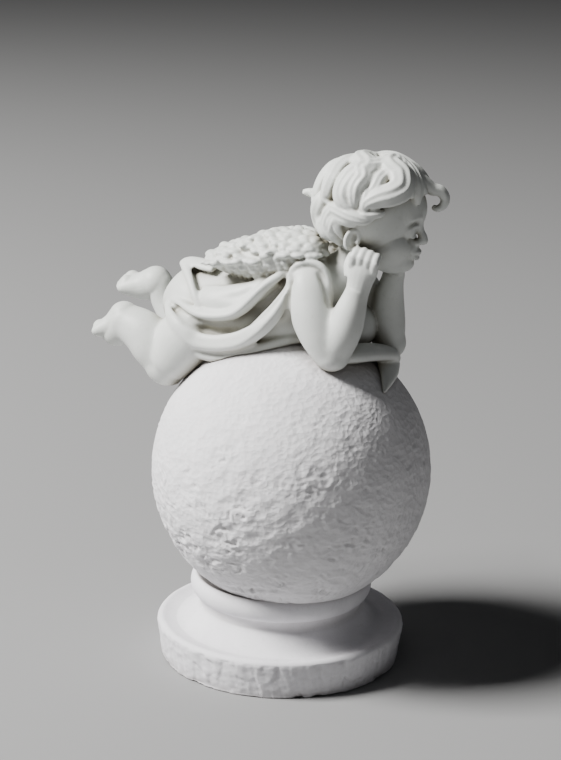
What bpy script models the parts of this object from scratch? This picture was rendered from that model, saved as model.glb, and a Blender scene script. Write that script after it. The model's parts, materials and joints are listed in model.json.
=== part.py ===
"""Cast angel figurine: a cherub lying on a rough ball, chin in its hands, on a turned plinth.

Metres, +Z up. The origin is the middle of the plinth's underside, and the cherub faces +X.
"""
import math

import bmesh
import bpy
import numpy as np
from mathutils import Euler, Matrix, Vector

# Driving dimensions
PLINTH_RADIUS = 0.0360
PLINTH_LEAN = 0.0014
RIM_HEIGHT = 0.0113
LIP_RADIUS = 0.0016
TROUGH_DEPTH = 0.0010
TROUGH_WIDTH = 0.0040
WAIST_RADIUS = 0.0234
COVE_RISE = 0.0044
COLLAR_RADIUS = 0.0263
COLLAR_THICKNESS = 0.0082
BALL_DIAMETER = 0.0800
BALL_SINK = 0.0052
BALL_SHIFT = 0.0024
FIGURE_LENGTH = 0.1000
CLEARANCE = 0.0003

# Share of the collar's thickness from the waist up to its middle
COLLAR_SHARE = 0.75

# Places that follow from them
BALL_RADIUS = BALL_DIAMETER / 2
WAIST_HEIGHT = RIM_HEIGHT + COVE_RISE
COLLAR_MIDDLE = WAIST_HEIGHT + COLLAR_SHARE * COLLAR_THICKNESS
BALL_CENTRE = Vector((BALL_SHIFT, 0, COLLAR_MIDDLE - BALL_SINK + BALL_RADIUS))
BALL_TOP = BALL_CENTRE + Vector((0, 0, BALL_RADIUS))

# The figure is worked in hundredths of its own length, from the ball's top
UNIT = FIGURE_LENGTH / 100
HEAD_SIZE = 0.90
HEAD_CENTRE = (21.8, 3.6, 34.4)
HEAD_TURN = (0, 6, 13)
SPINE = 2.4
# Least half width of a limb
LEAST = 0.05

# Feet: heel, toes, the sole's way and size; hands: wrist, the fist's way, its back's way and size
FEET = (((-49.2, -11.5, 0.4), (-57.0, -12.4, -5.9), (-0.70, 0.05, 0.62), 1.04),
        ((-51.6, 10.0, 6.0), (-62.8, 9.2, 3.3), (-0.16, -0.12, 1.0), 1.14))
HANDS = (((23.9, -9.8, 18.2), (0.22, -0.02, 1.0), (0.22, -1.0, 0.12), 0.98),
         ((24.2, 13.0, 18.0), (0.16, -0.30, 0.95), (0.45, 0.85, 0.0), 0.92))

# Mesh fineness
ROUND_STEPS = 40
BALL_RINGS = 20
SKIN_GRAIN = 0.9
DETAIL_GRAIN = 0.45
FIGURE_FACES = 6100

PORCELAIN = ("figure_bisque", (0.60, 0.62, 0.60), 0.50)
BALL_PLASTER = ("ball_plaster", (0.72, 0.71, 0.72), 0.85)
PLINTH_PLASTER = ("plinth_plaster", (0.70, 0.69, 0.72), 0.80)


def clear_scene():
    for thing in list(bpy.data.objects):
        bpy.data.objects.remove(thing, do_unlink=True)


def new_collection(name, helper=False):
    group = bpy.data.collections.new(name)
    bpy.context.scene.collection.children.link(group)
    group.hide_render = helper
    return group


def finish_of(name, colour, roughness):
    material = bpy.data.materials.new(name)
    material.use_nodes = True
    shader = material.node_tree.nodes["Principled BSDF"]
    shader.inputs["Base Color"].default_value = (*colour, 1)
    shader.inputs["Roughness"].default_value = roughness
    shader.inputs["Metallic"].default_value = 0.0
    return material


def object_of(name, mesh, group):
    thing = bpy.data.objects.new(name, mesh)
    group.objects.link(thing)
    return thing


def smooth_curve(rows, steps):
    """Catmull-Rom curve through rows of numbers."""
    rows = np.array(rows, float)
    rows = np.vstack([2 * rows[0] - rows[1], rows, 2 * rows[-1] - rows[-2]])
    points = []
    for before, start, end, after in zip(rows, rows[1:], rows[2:], rows[3:]):
        for t in np.arange(steps) / steps:
            straight = 2 * start + (end - before) * t
            bend = (2 * before - 5 * start + 4 * end - after) * t * t
            twist = (3 * start - before - 3 * end + after) * t**3
            points.append((straight + bend + twist) / 2)
    return np.array(points + [rows[-2]])


def unit(vector):
    return vector / (np.linalg.norm(vector) + 1e-12)


class Clay:
    """Closed forms gathered in one mesh, which overlap and are fused afterwards."""

    def __init__(self, frame=None):
        self.mesh = bmesh.new()
        self.frame = frame or Matrix.Identity(4)

    def ball(self, centre, radii, sides=16):
        size = Matrix.Diagonal((*radii, 1)) if isinstance(radii, tuple) else Matrix.Scale(radii, 4)
        place = self.frame @ Matrix.Translation(centre) @ size
        form = bmesh.new()
        bmesh.ops.create_uvsphere(form, u_segments=sides, v_segments=sides * 2 // 3, radius=1, matrix=place)
        mesh = bpy.data.meshes.new("form")
        form.to_mesh(mesh)
        form.free()
        self.mesh.from_mesh(mesh)
        bpy.data.meshes.remove(mesh)

    def tube(self, rows, up=None, sides=12, steps=4):
        """A limb through rows of x, y, z, half width and half height, with its height towards up."""
        rows = [row if len(row) == 5 else (*row, row[3]) for row in rows]
        curve = smooth_curve(rows, steps)
        places, widths, heights = curve[:, :3], curve[:, 3], curve[:, 4]
        along = np.gradient(places, axis=0)
        rise = np.array((0, 0, 1.0))
        if up is None and abs(unit(along[0])[2]) > 0.9:
            rise = np.array((1.0, 0, 0))
        rings = []
        for place, way, width, height in zip(places, along, widths, heights):
            way = unit(way)
            if up is not None:
                rise = np.array(up(place), float)
            rise = unit(rise - way * (rise @ way))
            side = np.cross(way, rise)
            ring = []
            for turn in np.arange(sides) * math.tau / sides:
                across, over = max(width, LEAST) * math.cos(turn), max(height, LEAST) * math.sin(turn)
                ring.append(place + side * across + rise * over)
            rings.append(ring)
        self.loft(rings)

    def loft(self, rings):
        rings = [[self.mesh.verts.new(self.frame @ Vector(p)) for p in ring] for ring in rings]
        for ring, following in zip(rings, rings[1:]):
            for i in range(len(ring)):
                j = (i + 1) % len(ring)
                self.mesh.faces.new((ring[i], ring[j], following[j], following[i]))
        self.mesh.faces.new(rings[0][::-1])
        self.mesh.faces.new(rings[-1])

    def add(self, piece):
        self.mesh.from_mesh(piece.data)
        bpy.data.objects.remove(piece)

    def model(self, grain, softening):
        """The forms fused into one skin of this grain, then softened."""
        bmesh.ops.recalc_face_normals(self.mesh, faces=self.mesh.faces[:])
        mesh = bpy.data.meshes.new("clay")
        self.mesh.to_mesh(mesh)
        self.mesh.free()
        piece = object_of("clay", mesh, bpy.context.scene.collection)
        fuse = piece.modifiers.new("Fuse", "REMESH")
        fuse.mode = "VOXEL"
        fuse.voxel_size = grain
        soften = piece.modifiers.new("Soften", "SMOOTH")
        soften.factor = 0.5
        soften.iterations = softening
        return settled(piece)


def settled(piece):
    """The object with its modifiers made part of its mesh."""
    graph = bpy.context.evaluated_depsgraph_get()
    mesh = bpy.data.meshes.new_from_object(piece.evaluated_get(graph))
    piece.modifiers.clear()
    piece.data = mesh
    return piece


def carve(piece, line, depth, width, fade=0.12):
    """A soft groove along a line, or a ridge where depth is below zero, that fades at both ends."""
    count = len(piece.data.vertices)
    places = np.empty(count * 3, np.float32)
    normals = np.empty(count * 3, np.float32)
    piece.data.vertices.foreach_get("co", places)
    piece.data.vertices.foreach_get("normal", normals)
    places, normals = places.reshape(-1, 3), normals.reshape(-1, 3)
    line = smooth_curve(line, 3)
    nearest = np.full(count, 1e9)
    along = np.zeros(count)
    for number, (start, end) in enumerate(zip(line, line[1:])):
        way = end - start
        t = np.clip(((places - start) @ way) / (way @ way), 0, 1)
        away = np.linalg.norm(places - start - t[:, None] * way, axis=1)
        closer = away < nearest
        nearest[closer] = away[closer]
        along[closer] = (number + t[closer]) / (len(line) - 1)
    fade = np.clip(np.minimum(along, 1 - along) / fade, 0, 1)
    places -= normals * (depth * np.exp(-((nearest / width) ** 2)) * fade)[:, None]
    piece.data.vertices.foreach_set("co", places.ravel())
    piece.data.update()


def upward(_):
    return (0, 0, 1)


def outward(place):
    """Out of the near side, turning with the hip."""
    hip = min(0, place[0] + 22)
    return (0.04 * hip, -1, 0.15 - 0.03 * hip)


def add_trunk(clay):
    clay.tube([
        (-40, 1.5, 0.0, 5.0, 4.5), (-37.5, 1.4, 1.4, 8.6, 8.2), (-34.5, 1.2, 2.4, 11.2, 10.8),
        (-30.5, 1.0, 3.4, 13.0, 12.2), (-24, 1.0, 4.6, 13.4, 12.4), (-16, 1.5, 6.2, 12.8, 11.9),
        (-7, 2.0, 9, 12.6, 11.5), (4, 2.4, 12, 12.4, 10.6), (11, 2.8, 15.4, 10.6, 8.6),
        (15.5, 3.2, 20.5, 6.0, 6.4), (18, 3.5, 27, 4.9, 5.2),
    ], up=upward, sides=24, steps=5)
    # seat of the tunic, spread towards the ball
    clay.tube([
        (-38, 1, -1, 6.5, 5), (-34, 1, -1.5, 12.0, 8.4), (-26, 0.8, -0.5, 15.0, 9.6),
        (-16, 0.8, 1.0, 15.4, 9.8), (-7, 1.2, 2.5, 14.6, 10), (0, 1.8, 4.5, 12.4, 10),
        (8, 2.6, 6.5, 9.6, 9), (14, 3, 7, 7.6, 8),
    ], up=upward, sides=24, steps=4)


def add_arms(clay):
    near_upper = [(5.5, -3, 18, 6.2, 5.8), (8.2, -8.0, 16.6, 6.4, 6.0), (10.6, -11.4, 10.5, 6.1, 5.9),
                  (13.6, -12, 4.5, 5.8, 5.8), (16.6, -11.6, -0.5, 5.0, 5.0)]
    near_lower = [(17.0, -11.4, -1.4, 4.6), (18.8, -11.2, 2.4, 5.2), (20.6, -10.8, 6.6, 5.0),
                  (22.0, -10.3, 11.4, 4.3), (23.2, -9.8, 15.8, 3.4), (24.0, -9.8, 18.2, 3.3)]
    far_upper = [(5, 7, 18, 6.2, 6), (8.5, 13.0, 16.5, 6.2, 6.0), (12.5, 16.6, 10.5, 5.9, 5.7),
                 (17, 17.6, 4, 5.3, 5.1), (21.3, 16.8, -2.5, 4.6, 4.6)]
    far_lower = [(21.6, 16.4, -3.4, 4.5), (21.4, 16.0, 1.5, 5.0), (21.4, 15.4, 6.8, 4.8),
                 (22.2, 14.4, 11.6, 4.1), (23.4, 13.4, 15.6, 3.3), (24.2, 12.8, 18.5, 3.2)]
    for limb in (near_upper, near_lower, far_upper, far_lower):
        clay.tube(limb, sides=16)
    clay.ball((17.2, -11.4, -1.2), (5.3, 4.9, 4.9))
    clay.ball((21.8, 16.4, -3.4), (5.0, 4.8, 4.8))


def add_legs(clay):
    near_thigh = [(-22, -4, 3, 9, 9), (-28, -8.5, -2.5, 9.6, 9.2), (-32, -11, -8.5, 8.4, 8.2),
                  (-34, -11.4, -12, 7.0, 6.8)]
    near_calf = [(-34.5, -11.4, -11.5, 5.8), (-38.6, -11.3, -7.2, 6.8), (-42.0, -11.3, -4.0, 6.5),
                 (-45.0, -11.3, -2.4, 6.0), (-48.0, -11.3, -1.4, 5.4)]
    far_thigh = [(-22, 8, 3, 9, 9), (-28, 10, -3, 9, 9), (-34, 11, -9, 8, 8), (-37, 11, -12, 6.4, 6.4)]
    far_calf = [(-37.5, 11, -12, 5.8), (-41, 11, -7, 6.4), (-45, 10.8, -3, 5.6),
                (-48.4, 10.4, 1.0, 4.5), (-50.0, 10.0, 4.5, 4.2)]
    for limb in (near_thigh, near_calf, far_thigh, far_calf):
        clay.tube(limb, sides=16)
    clay.ball((-34.6, -11.4, -11.6), (6.8, 6.4, 6.4))
    clay.ball((-37.5, 11, -12), 6.2)
    # heels and insteps
    clay.ball((-48.6, -11.4, -1.0), 5.3)
    clay.ball((-51.4, -11.9, -4.0), (4.9, 4.6, 4.7))
    clay.ball((-50.6, 10.0, 5.4), (4.6, 4.3, 4.6))
    clay.ball((-57.6, 9.4, 4.0), (4.6, 4.2, 3.6))


def add_foot(clay, heel, toes, sole, size):
    """A bare foot from the middle of its heel to its toes' tips; sole points out of the sole."""
    heel, toes, sole = (np.array(v, float) for v in (heel, toes, sole))
    length = np.linalg.norm(toes - heel)
    way = unit(toes - heel)
    sole = unit(sole - way * (sole @ way))
    side = np.cross(way, sole)

    def at(share, out, across=0.0):
        return tuple(heel + way * share * length + (sole * out + side * across) * size)

    clay.ball(at(0, 0), 4.2 * size)
    sections = ((-0.06, 0, 3.4, 3.8), (0.14, -0.4, 4.0, 4.2), (0.38, -0.5, 4.1, 3.8), (0.62, 0, 4.5, 3.1),
                (0.82, 0.5, 4.7, 2.4), (0.94, 0.6, 4.1, 1.9))
    clay.tube([(*at(share, out), width * size, height * size) for share, out, width, height in sections],
              up=lambda _: sole, sides=16)
    clay.ball(at(0.75, 1.2, 1.9), 2.3 * size)
    clay.ball(at(0.74, 1.2, -1.7), 2.1 * size)
    for across, radius, share in ((3.2, 1.9, 0.96), (1.15, 1.45, 1.0), (-0.6, 1.35, 0.97),
                                  (-2.1, 1.25, 0.92), (-3.4, 1.15, 0.85)):
        clay.ball(at(share, 0.7, across), radius * size, sides=12)


def add_hand(clay, wrist, along, back, size):
    """A loose fist: the knuckles lie along the given way from the wrist, back points out of its back."""
    wrist, along, back = np.array(wrist, float), unit(np.array(along, float)), np.array(back, float)
    back = unit(back - along * (back @ along))
    side = np.cross(back, along)

    def at(forward, out, across):
        return tuple(wrist + (along * forward + back * out + side * across) * size)

    palm = ((-1.8, 0, 3.3, 3.1), (1.2, -0.2, 3.6, 2.9), (4.2, -0.2, 4.2, 2.7), (6.4, -0.4, 4.3, 2.3))
    clay.tube([(*at(forward, out, 0), width * size, height * size) for forward, out, width, height in palm],
              up=lambda _: back)
    for finger in range(4):
        across = (1.5 - finger) * 2.1
        short = 0.3 * abs(1.2 - finger)
        bones = ((5.6 - short, 0.6, 1.15), (8.3 - short, 1.0, 1.2), (9.9 - short, -0.7, 1.14),
                 (9.1 - short, -2.9, 1.0), (7.2, -3.7, 0.85))
        clay.tube([(*at(forward, out, across * (1 - 0.04 * bone)), radius * size)
                   for bone, (forward, out, radius) in enumerate(bones)], sides=8, steps=3)
    thumb = ((2.0, -1, 3.0, 1.9), (4.4, -2.0, 4.3, 1.6), (6.9, -3.0, 4.3, 1.3), (8.4, -3.5, 3.5, 1.05))
    clay.tube([(*at(*place), radius * size) for *place, radius in thumb], sides=8)


def add_head(clay):
    """Skull, cheeks, jaw, brow, nose and neck of a small child, in the head's own frame."""
    for centre, radii in (((-1.5, 0, 2.2), (15.2, 13.4, 14.2)), ((4.6, 0, 4.2), (10.8, 11.4, 10.4)),
                          ((3.8, 0, -6.6), (9.6, 10.2, 8.4)), ((7.6, 5.0, -6.2), (5.5, 5.3, 5.0)),
                          ((7.6, -5.0, -6.2), (5.5, 5.3, 5.0)), ((10.2, 0, -11.6), (3.8, 3.9, 3.3)),
                          ((6.5, 0, -12.6), (5.5, 5.5, 3.2)), ((11.6, 0, -7.6), (3.3, 4.0, 3.2))):
        clay.ball(centre, radii, sides=24)
    clay.tube([(13.6, 0, 2.2, 1.2, 1.0), (14.4, 0, -1.2, 1.3, 1.2), (15.6, 0, -3.4, 1.6, 1.4),
               (15.6, 0, -4.6, 1.6, 1.2)], up=lambda _: (1, 0, 0), sides=10)
    clay.ball((15.5, 0, -4.1), (1.75, 1.8, 1.5))
    for side in (1, -1):
        clay.ball((14.4, 1.5 * side, -4.6), (1.3, 1.15, 1.0))
        clay.tube([(14.2, 1.6 * side, 2.2, 0.8), (13.9, 4.2 * side, 3.6, 1.1),
                   (12.2, 7.4 * side, 3.0, 0.9)], sides=8)


def carve_face(piece, frame):
    """Soft sockets round the eyes, and the dents beside the nose, the lips and the chin."""
    for side in (1, -1):
        for line, depth, width in (
                (((14.6, 1.9, -0.2), (14.2, 3.0, 1.4), (13.8, 4.8, 2.0), (12.6, 6.8, 1.4),
                 (11.4, 8.4, -0.2)), 0.7, 1.0),
                (((14.4, 2.0, -0.4), (13.8, 3.2, -3.2), (13.0, 5.2, -3.6), (11.8, 7.2, -2.8)), 0.6, 1.1),
                (((15.0, 1.9, -3.2), (14.2, 3.2, -4.6), (13.2, 4.2, -6.4)), 0.35, 0.7),
                (((13.6, 3.1, -8.4), (13.0, 3.6, -9.0)), 0.5, 0.6)):
            spots = [tuple(frame @ Vector((x, y * side, z))) for x, y, z in line]
            carve(piece, spots, depth * HEAD_SIZE, width * HEAD_SIZE, 0.25)
    carve(piece, [tuple(frame @ Vector(spot)) for spot in ((13.6, -2.0, -10.4), (14.0, 0, -10.7),
                                                           (13.6, 2.0, -10.4))],
          0.4, 0.6, 0.3)


def add_features(clay):
    """Calm eyes and lips on plain proportions, and ears."""
    for side in (1, -1):
        clay.ball((11.0, 4.9 * side, -0.8), (2.7, 2.8, 2.6))
        clay.tube([(13.4, 2.4 * side, -0.9, 0.45), (13.9, 3.6 * side, 0.6, 0.6),
                   (13.5, 5.4 * side, 0.9, 0.62), (12.0, 7.3 * side, -0.3, 0.5)], sides=8)
        clay.tube([(13.3, 2.5 * side, -1.4, 0.35), (13.5, 3.8 * side, -2.5, 0.45),
                   (13.1, 5.4 * side, -2.6, 0.45), (12.0, 7.0 * side, -1.3, 0.35)], sides=8)
        rim = []
        for turn in np.radians(np.arange(-75, 235, 31)):
            forward = -3.3 - 1.8 * math.cos(turn) + 0.25 * math.sin(turn)
            rim.append((forward, side * (14.0 + 0.7 * math.cos(turn)), -4.6 + 3.0 * math.sin(turn), 0.72))
        clay.tube(rim, sides=8, steps=3)
        clay.tube([(-3.4, 13.8 * side, -2.5, 0.5), (-4.0, 14.2 * side, -4.3, 0.6),
                   (-3.5, 13.9 * side, -6.3, 0.5)],
                  sides=8)
        clay.ball((-3.3, 12.4 * side, -4.7), (2.0, 1.3, 2.9))
        clay.ball((-2.6, 13.6 * side, -7.6), (1.1, 0.8, 1.1))
        clay.ball((-1.7, 13.6 * side, -5.1), (0.7, 0.7, 0.8))
    clay.tube([(13.3, 2.9, -8.3, 0.3, 0.3), (14.5, 1.5, -7.75, 0.75, 0.7), (14.85, 0, -8.0, 0.8, 0.75),
               (14.5, -1.5, -7.75, 0.75, 0.7), (13.3, -2.9, -8.3, 0.3, 0.3)], up=upward, sides=8)
    clay.tube([(13.2, 2.5, -8.9, 0.3, 0.3), (14.1, 1.3, -9.5, 0.85, 0.75), (14.35, 0, -9.7, 0.95, 0.85),
               (14.1, -1.3, -9.5, 0.85, 0.75), (13.2, -2.5, -8.9, 0.3, 0.3)], up=upward, sides=8)


SKULL_CENTRE = np.array((-1.0, 0, 2.6))
SKULL_RADII = np.array((14.3, 13.6, 14.0))


def on_skull(azimuth, elevation, out):
    """A place over the skull: azimuth is 0 at the face and grows towards the head's left."""
    azimuth, elevation = math.radians(azimuth), math.radians(elevation)
    way = np.array((math.cos(elevation) * math.cos(azimuth), math.cos(elevation) * math.sin(azimuth),
                    math.sin(elevation)))
    return SKULL_CENTRE + way * (SKULL_RADII + out)


def add_lock(clay, path, width, height, tip=0.12):
    """A waving lock of hair; the path's rows are azimuth, elevation and lift."""
    path = np.array(path, float)
    path[:, 0] = np.degrees(np.unwrap(np.radians(path[:, 0])))
    path = smooth_curve(path, 3)
    turn = path[0][1] + path[-1][0]
    rows = []
    for number, (azimuth, elevation, lift) in enumerate(path):
        t = number / (len(path) - 1)
        fullness = min(1.0, 0.5 + 2.2 * t) * (1 - (1 - tip) * t**3.4)
        wave = math.sin(t * 7.5 + turn) * t
        level = max(0.35, math.cos(math.radians(elevation)))
        place = on_skull(azimuth + 4.2 * wave / level, elevation, lift + 0.25 * math.sin(t * 9 + turn))
        rows.append((*place, width * fullness, height * (0.4 + 0.6 * fullness)))
    clay.tube(rows, up=lambda place: place - SKULL_CENTRE, sides=14, steps=2)


NEAR_LOCKS = (
    # half width, then azimuth, elevation and lift along the lock; from the nape and the back to the brow
    (3.2, ((-151, 16, 1.2), (-151, 2, 2.6), (-159, -13, 2.6), (-157, -26, 2.0), (-141, -35, 1.4))),
    (2.6, ((-125, 8, 1.0), (-129, -3, 2.2), (-132, -16, 2.4), (-129, -30, 1.8), (-138, -40, 1.2))),
    (2.4, ((-140, -6, 1.4), (-146, -18, 2.4), (-142, -30, 2.2), (-148, -42, 1.2))),
    (2.3, ((-118, 0, 1.0), (-124, -10, 2.0), (-127, -21, 2.1), (-121, -32, 1.6), (-126, -42, 1.0))),
    (1.8, ((-110, 3, 1.2), (-115, -6, 2.0), (-118, -19, 1.8), (-114, -34, 1.2))),
    (3.4, ((174, 62, 0.8), (-176, 44, 2.4), (-170, 27, 3.0), (-166, 12, 3.0), (-164, 2, 2.6),
    (-152, -4, 1.8))), (3.3, ((166, 72, 0.8), (-160, 56, 2.6), (-144, 38, 3.2), (-142, 25, 3.2),
    (-139, 12, 2.8), (-127, 7, 2.0))), (2.3, ((-138, 4, 1.2), (-118, 4, 2.4), (-100, 1, 3.2),
    (-84, 0, 3.2), (-69, 6, 2.4))), (1.7, ((-128, -2, 1.2), (-112, -5, 2.2), (-98, -6, 2.4),
    (-88, -3, 2.0))), (1.6, ((-100, 6, 2.0), (-88, 5, 3.0), (-76, 8, 3.0), (-66, 13, 2.2))),
    (2.6, ((-58, 62, 2.2), (-70, 48, 3.2), (-80, 38, 3.6), (-86, 28, 3.6), (-84, 19, 3.0))),
    (4.1, ((134, 82, 1.2), (-111, 60, 3.2), (-111, 40, 4.0), (-112, 24, 4.0), (-111, 13, 3.4),
    (-102, 6, 2.4))), (2.2, ((-73, 43, 1.8), (-85, 29, 3.0), (-90, 19, 3.4), (-90, 10, 2.8),
    (-83, 6, 2.2))), (3.2, ((79, 84, 1.4), (-88, 58, 3.6), (-96, 39, 4.2), (-103, 26, 4.0),
    (-102, 16, 3.4), (-94, 10, 2.4))), (3.2, ((49, 80, 1.2), (-7, 63, 2.8), (-26, 43, 3.4),
    (-26, 30, 3.2), (-20, 18, 2.2))), (2.7, ((73, 84, 1.2), (-25, 67, 3.0), (-36, 46, 3.6),
    (-36, 34, 3.2), (-40, 25, 2.2))), (4.2, ((79, 86, 1.4), (-44, 68, 3.6), (-48, 48, 4.8),
    (-54, 34, 5.2), (-65, 27, 5.2), (-77, 22, 4.6),
           (-84, 15, 4.0), (-82, 7, 3.0))),
    (2.8, ((60, 82, 0.8), (10, 66, 2.2), (-4, 50, 3.0), (-8, 37, 3.2), (-2, 26, 2.6))),
)
FAR_LOCKS = (
    (3.3, ((150, 78, 0.6), (60, 72, 2.0), (34, 58, 2.8), (26, 44, 3.2), (30, 30, 3.0), (42, 22, 2.0))),
    (3.2, ((140, 70, 0.6), (84, 66, 2.0), (60, 52, 2.8), (52, 38, 3.0), (56, 24, 2.8), (68, 15, 2.0))),
    (3.2, ((150, 60, 0.6), (112, 56, 2.0), (88, 42, 2.8), (80, 28, 2.9), (84, 14, 2.6), (72, 6, 1.8))),
    (3.3, ((170, 60, 0.8), (142, 48, 2.0), (122, 34, 2.7), (112, 20, 2.8), (116, 6, 2.4), (104, -2, 1.6))),
    (3.2, ((-176, 44, 0.8), (164, 32, 2.2), (148, 20, 2.8), (138, 6, 2.8), (144, -8, 2.4),
    (132, -16, 1.6))), (3.0, ((-172, 22, 1.0), (174, 10, 2.4), (162, -4, 2.8), (168, -18, 2.6),
    (158, -30, 1.8))), (2.6, ((128, -2, 0.8), (124, -14, 2.0), (130, -26, 2.0), (122, -38, 1.2))),
    (2.4, ((150, -14, 0.8), (146, -26, 2.0), (152, -38, 1.4))),
    (2.2, ((108, 0, 0.8), (104, -12, 1.8), (109, -22, 1.6), (104, -32, 1.0))),
    (2.2, ((-172, -14, 0.8), (-178, -28, 2.0), (-172, -40, 1.4))),
)


def add_hair(clay):
    clay.ball((-1.4, 0, 3.4), (15.3, 14.9, 15.3), sides=32)
    for half_width, path in NEAR_LOCKS + FAR_LOCKS:
        add_lock(clay, path, half_width, min(2.7, 0.62 * half_width + 0.6))
    # the tip that stands out behind
    add_lock(clay, ((-170, 26, 0.6), (-172, 16, 2.0), (-178, 9, 3.0), (178, 5, 4.4),
                    (177, 4, 6.4)), 3.0, 1.9, 0.3)
    # the curl that stands out over the forehead
    clay.tube([(4.0, -0.6, 16.0, 2.6, 1.9), (8.6, -0.4, 15.2, 2.8, 2.3), (12.6, 0.6, 13.4, 2.6, 2.3),
               (15.6, 1.6, 11.6, 2.3, 2.1), (18.0, 2.4, 11.2, 2.1, 1.9), (19.8, 2.8, 9.4, 1.8, 1.6),
               (19.6, 2.8, 7.0, 1.5, 1.4), (17.8, 2.8, 5.6, 1.2, 1.1),
               (16.4, 2.8, 6.2, 0.8, 0.8)], sides=10)


def add_folds(clay):
    """The tunic's big folds on the near side, its hem on the ball, and the band round the armhole."""
    lower_fold = [(6.0, -10.6, 20.4, 1.3, 0.9), (5.0, -12.0, 17.4, 1.6, 1.3), (3.4, -12.8, 14.0, 2.0, 1.7),
                  (1.6, -14.0, 10.2, 2.4, 2.0), (-0.6, -15.0, 7.0, 2.8, 2.2), (-3.4, -15.6, 4.0, 3.0, 2.3),
                  (-7.6, -15.8, 0.9, 3.1, 2.3), (-11.8, -15.8, -0.9, 3.1, 2.2),
                  (-16.8, -15.8, -2.0, 3.0, 2.1), (-22.3, -16.2, -1.9, 2.8, 1.7),
                  (-26.0, -16.9, 0.0, 2.3, 1.4), (-29.4, -16.2, 2.2, 2.0, 1.2),
                  (-33.0, -13.4, 4.2, 1.6, 1.0), (-36.6, -8.8, 5.6, 1.0, 0.7)]
    upper_fold = [(1.9, -9.6, 19.8, 1.0, 0.9), (0.2, -11.2, 18.2, 1.3, 1.2), (-2.7, -12.8, 15.6, 1.6, 1.5),
                  (-5.4, -14.0, 12.5, 1.8, 1.7), (-8.5, -14.6, 9.3, 1.9, 1.8),
                  (-11.8, -14.8, 7.1, 1.9, 1.8), (-15.8, -14.8, 6.0, 1.9, 1.8),
                  (-20.4, -14.5, 5.5, 1.8, 1.7), (-25.2, -13.6, 5.7, 1.6, 1.5),
                  (-29.8, -12.0, 6.5, 1.4, 1.3), (-34.0, -9.6, 7.3, 1.1, 1.0)]
    hem = [(9.0, -6.0, 0.4, 0.8, 1.2), (4.4, -8.8, 0.4, 1.0, 1.2), (0.7, -11.0, -0.6, 1.3, 1.6),
           (-2.8, -13.0, -2.0, 1.5, 1.9), (-7.2, -14.6, -3.8, 1.6, 2.2), (-13.4, -15.0, -5.3, 1.7, 2.4),
           (-19.8, -15.0, -5.6, 1.6, 2.3), (-25.9, -14.3, -4.9, 1.4, 2.0), (-31, -12.6, -3.3, 1.2, 1.5)]
    armhole = [(3.9, -10.8, 17.0, 1.0, 0.8), (4.2, -11.2, 19.6, 1.2, 0.9), (5.6, -10.8, 21.8, 1.4, 1.0),
               (8.8, -9.8, 23.0, 1.5, 1.0), (12.6, -9.0, 21.8, 1.5, 1.0), (14.6, -8.6, 17.5, 1.3, 0.9),
               (14.8, -7.8, 12.5, 1.2, 0.8)]
    clay.tube(lower_fold, up=outward)
    clay.tube(upper_fold, up=outward)
    clay.tube(hem)
    clay.tube(armhole)
    # the pouch of cloth that hangs over the upper fold
    clay.tube([(-1.0, -9.4, 17.0, 2.0, 1.6), (-7.0, -11.4, 13.0, 3.4, 2.4), (-14.0, -12.2, 10.4, 4.2, 2.6),
               (-20.0, -11.8, 9.8, 3.8, 2.4), (-24.5, -10.4, 10.0, 2.6, 1.8)], up=lambda _: (0, -0.8, 0.6))
    # the corner of cloth that stands out at the hip, and the band that runs down from it
    clay.tube([(-22.0, -6.4, 16.6, 2.0, 0.9), (-27.0, -4.8, 16.4, 2.4, 0.9), (-31.6, -3.4, 16.0, 2.2, 0.8),
               (-34.0, -2.6, 15.6, 1.2, 0.6)], up=lambda _: (-0.1, -0.4, 0.9))
    clay.tube([(-34.0, -3.0, 15.6, 1.3, 0.7), (-31.2, -5.8, 14.6, 1.5, 0.8), (-28.2, -8.8, 12.8, 1.4, 0.8),
               (-25.4, -11.4, 10.0, 1.2, 0.8), (-23.2, -13.2, 7.3, 1.0, 0.7),
               (-21.6, -14.4, 5.0, 0.6, 0.5)],
              up=lambda _: (-0.15, -0.65, 0.7))
    # plainer folds on the far side, and its hem
    for lift, width in ((0.0, 1.2), (6.0, 2.0)):
        far = [(2.5, 14.2, 17.5, 1.2, 1.0), (-2, 16.2, 9 + lift * 0.6, 2.0, 1.8),
               (-9, 17.0, 1.5 + lift, 2.4, 2.2), (-18, 16.8, -0.8 + lift, 2.4, 2.2),
               (-27, 15.2, -0.6 + lift, 2.0, 1.8), (-34.5, 11, 1.0 + lift, width, 1.2)]
        clay.tube(far, up=lambda _: (0, 1, 0.15))
    clay.tube([(3, 12, -1.5, 1.2, 1.6), (-5, 16.6, -4.6, 1.5, 2.2), (-14, 17.4, -6.6, 1.6, 2.4),
               (-23, 17.0, -6.8, 1.5, 2.2), (-31, 14.5, -4.6, 1.2, 1.6)])


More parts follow.
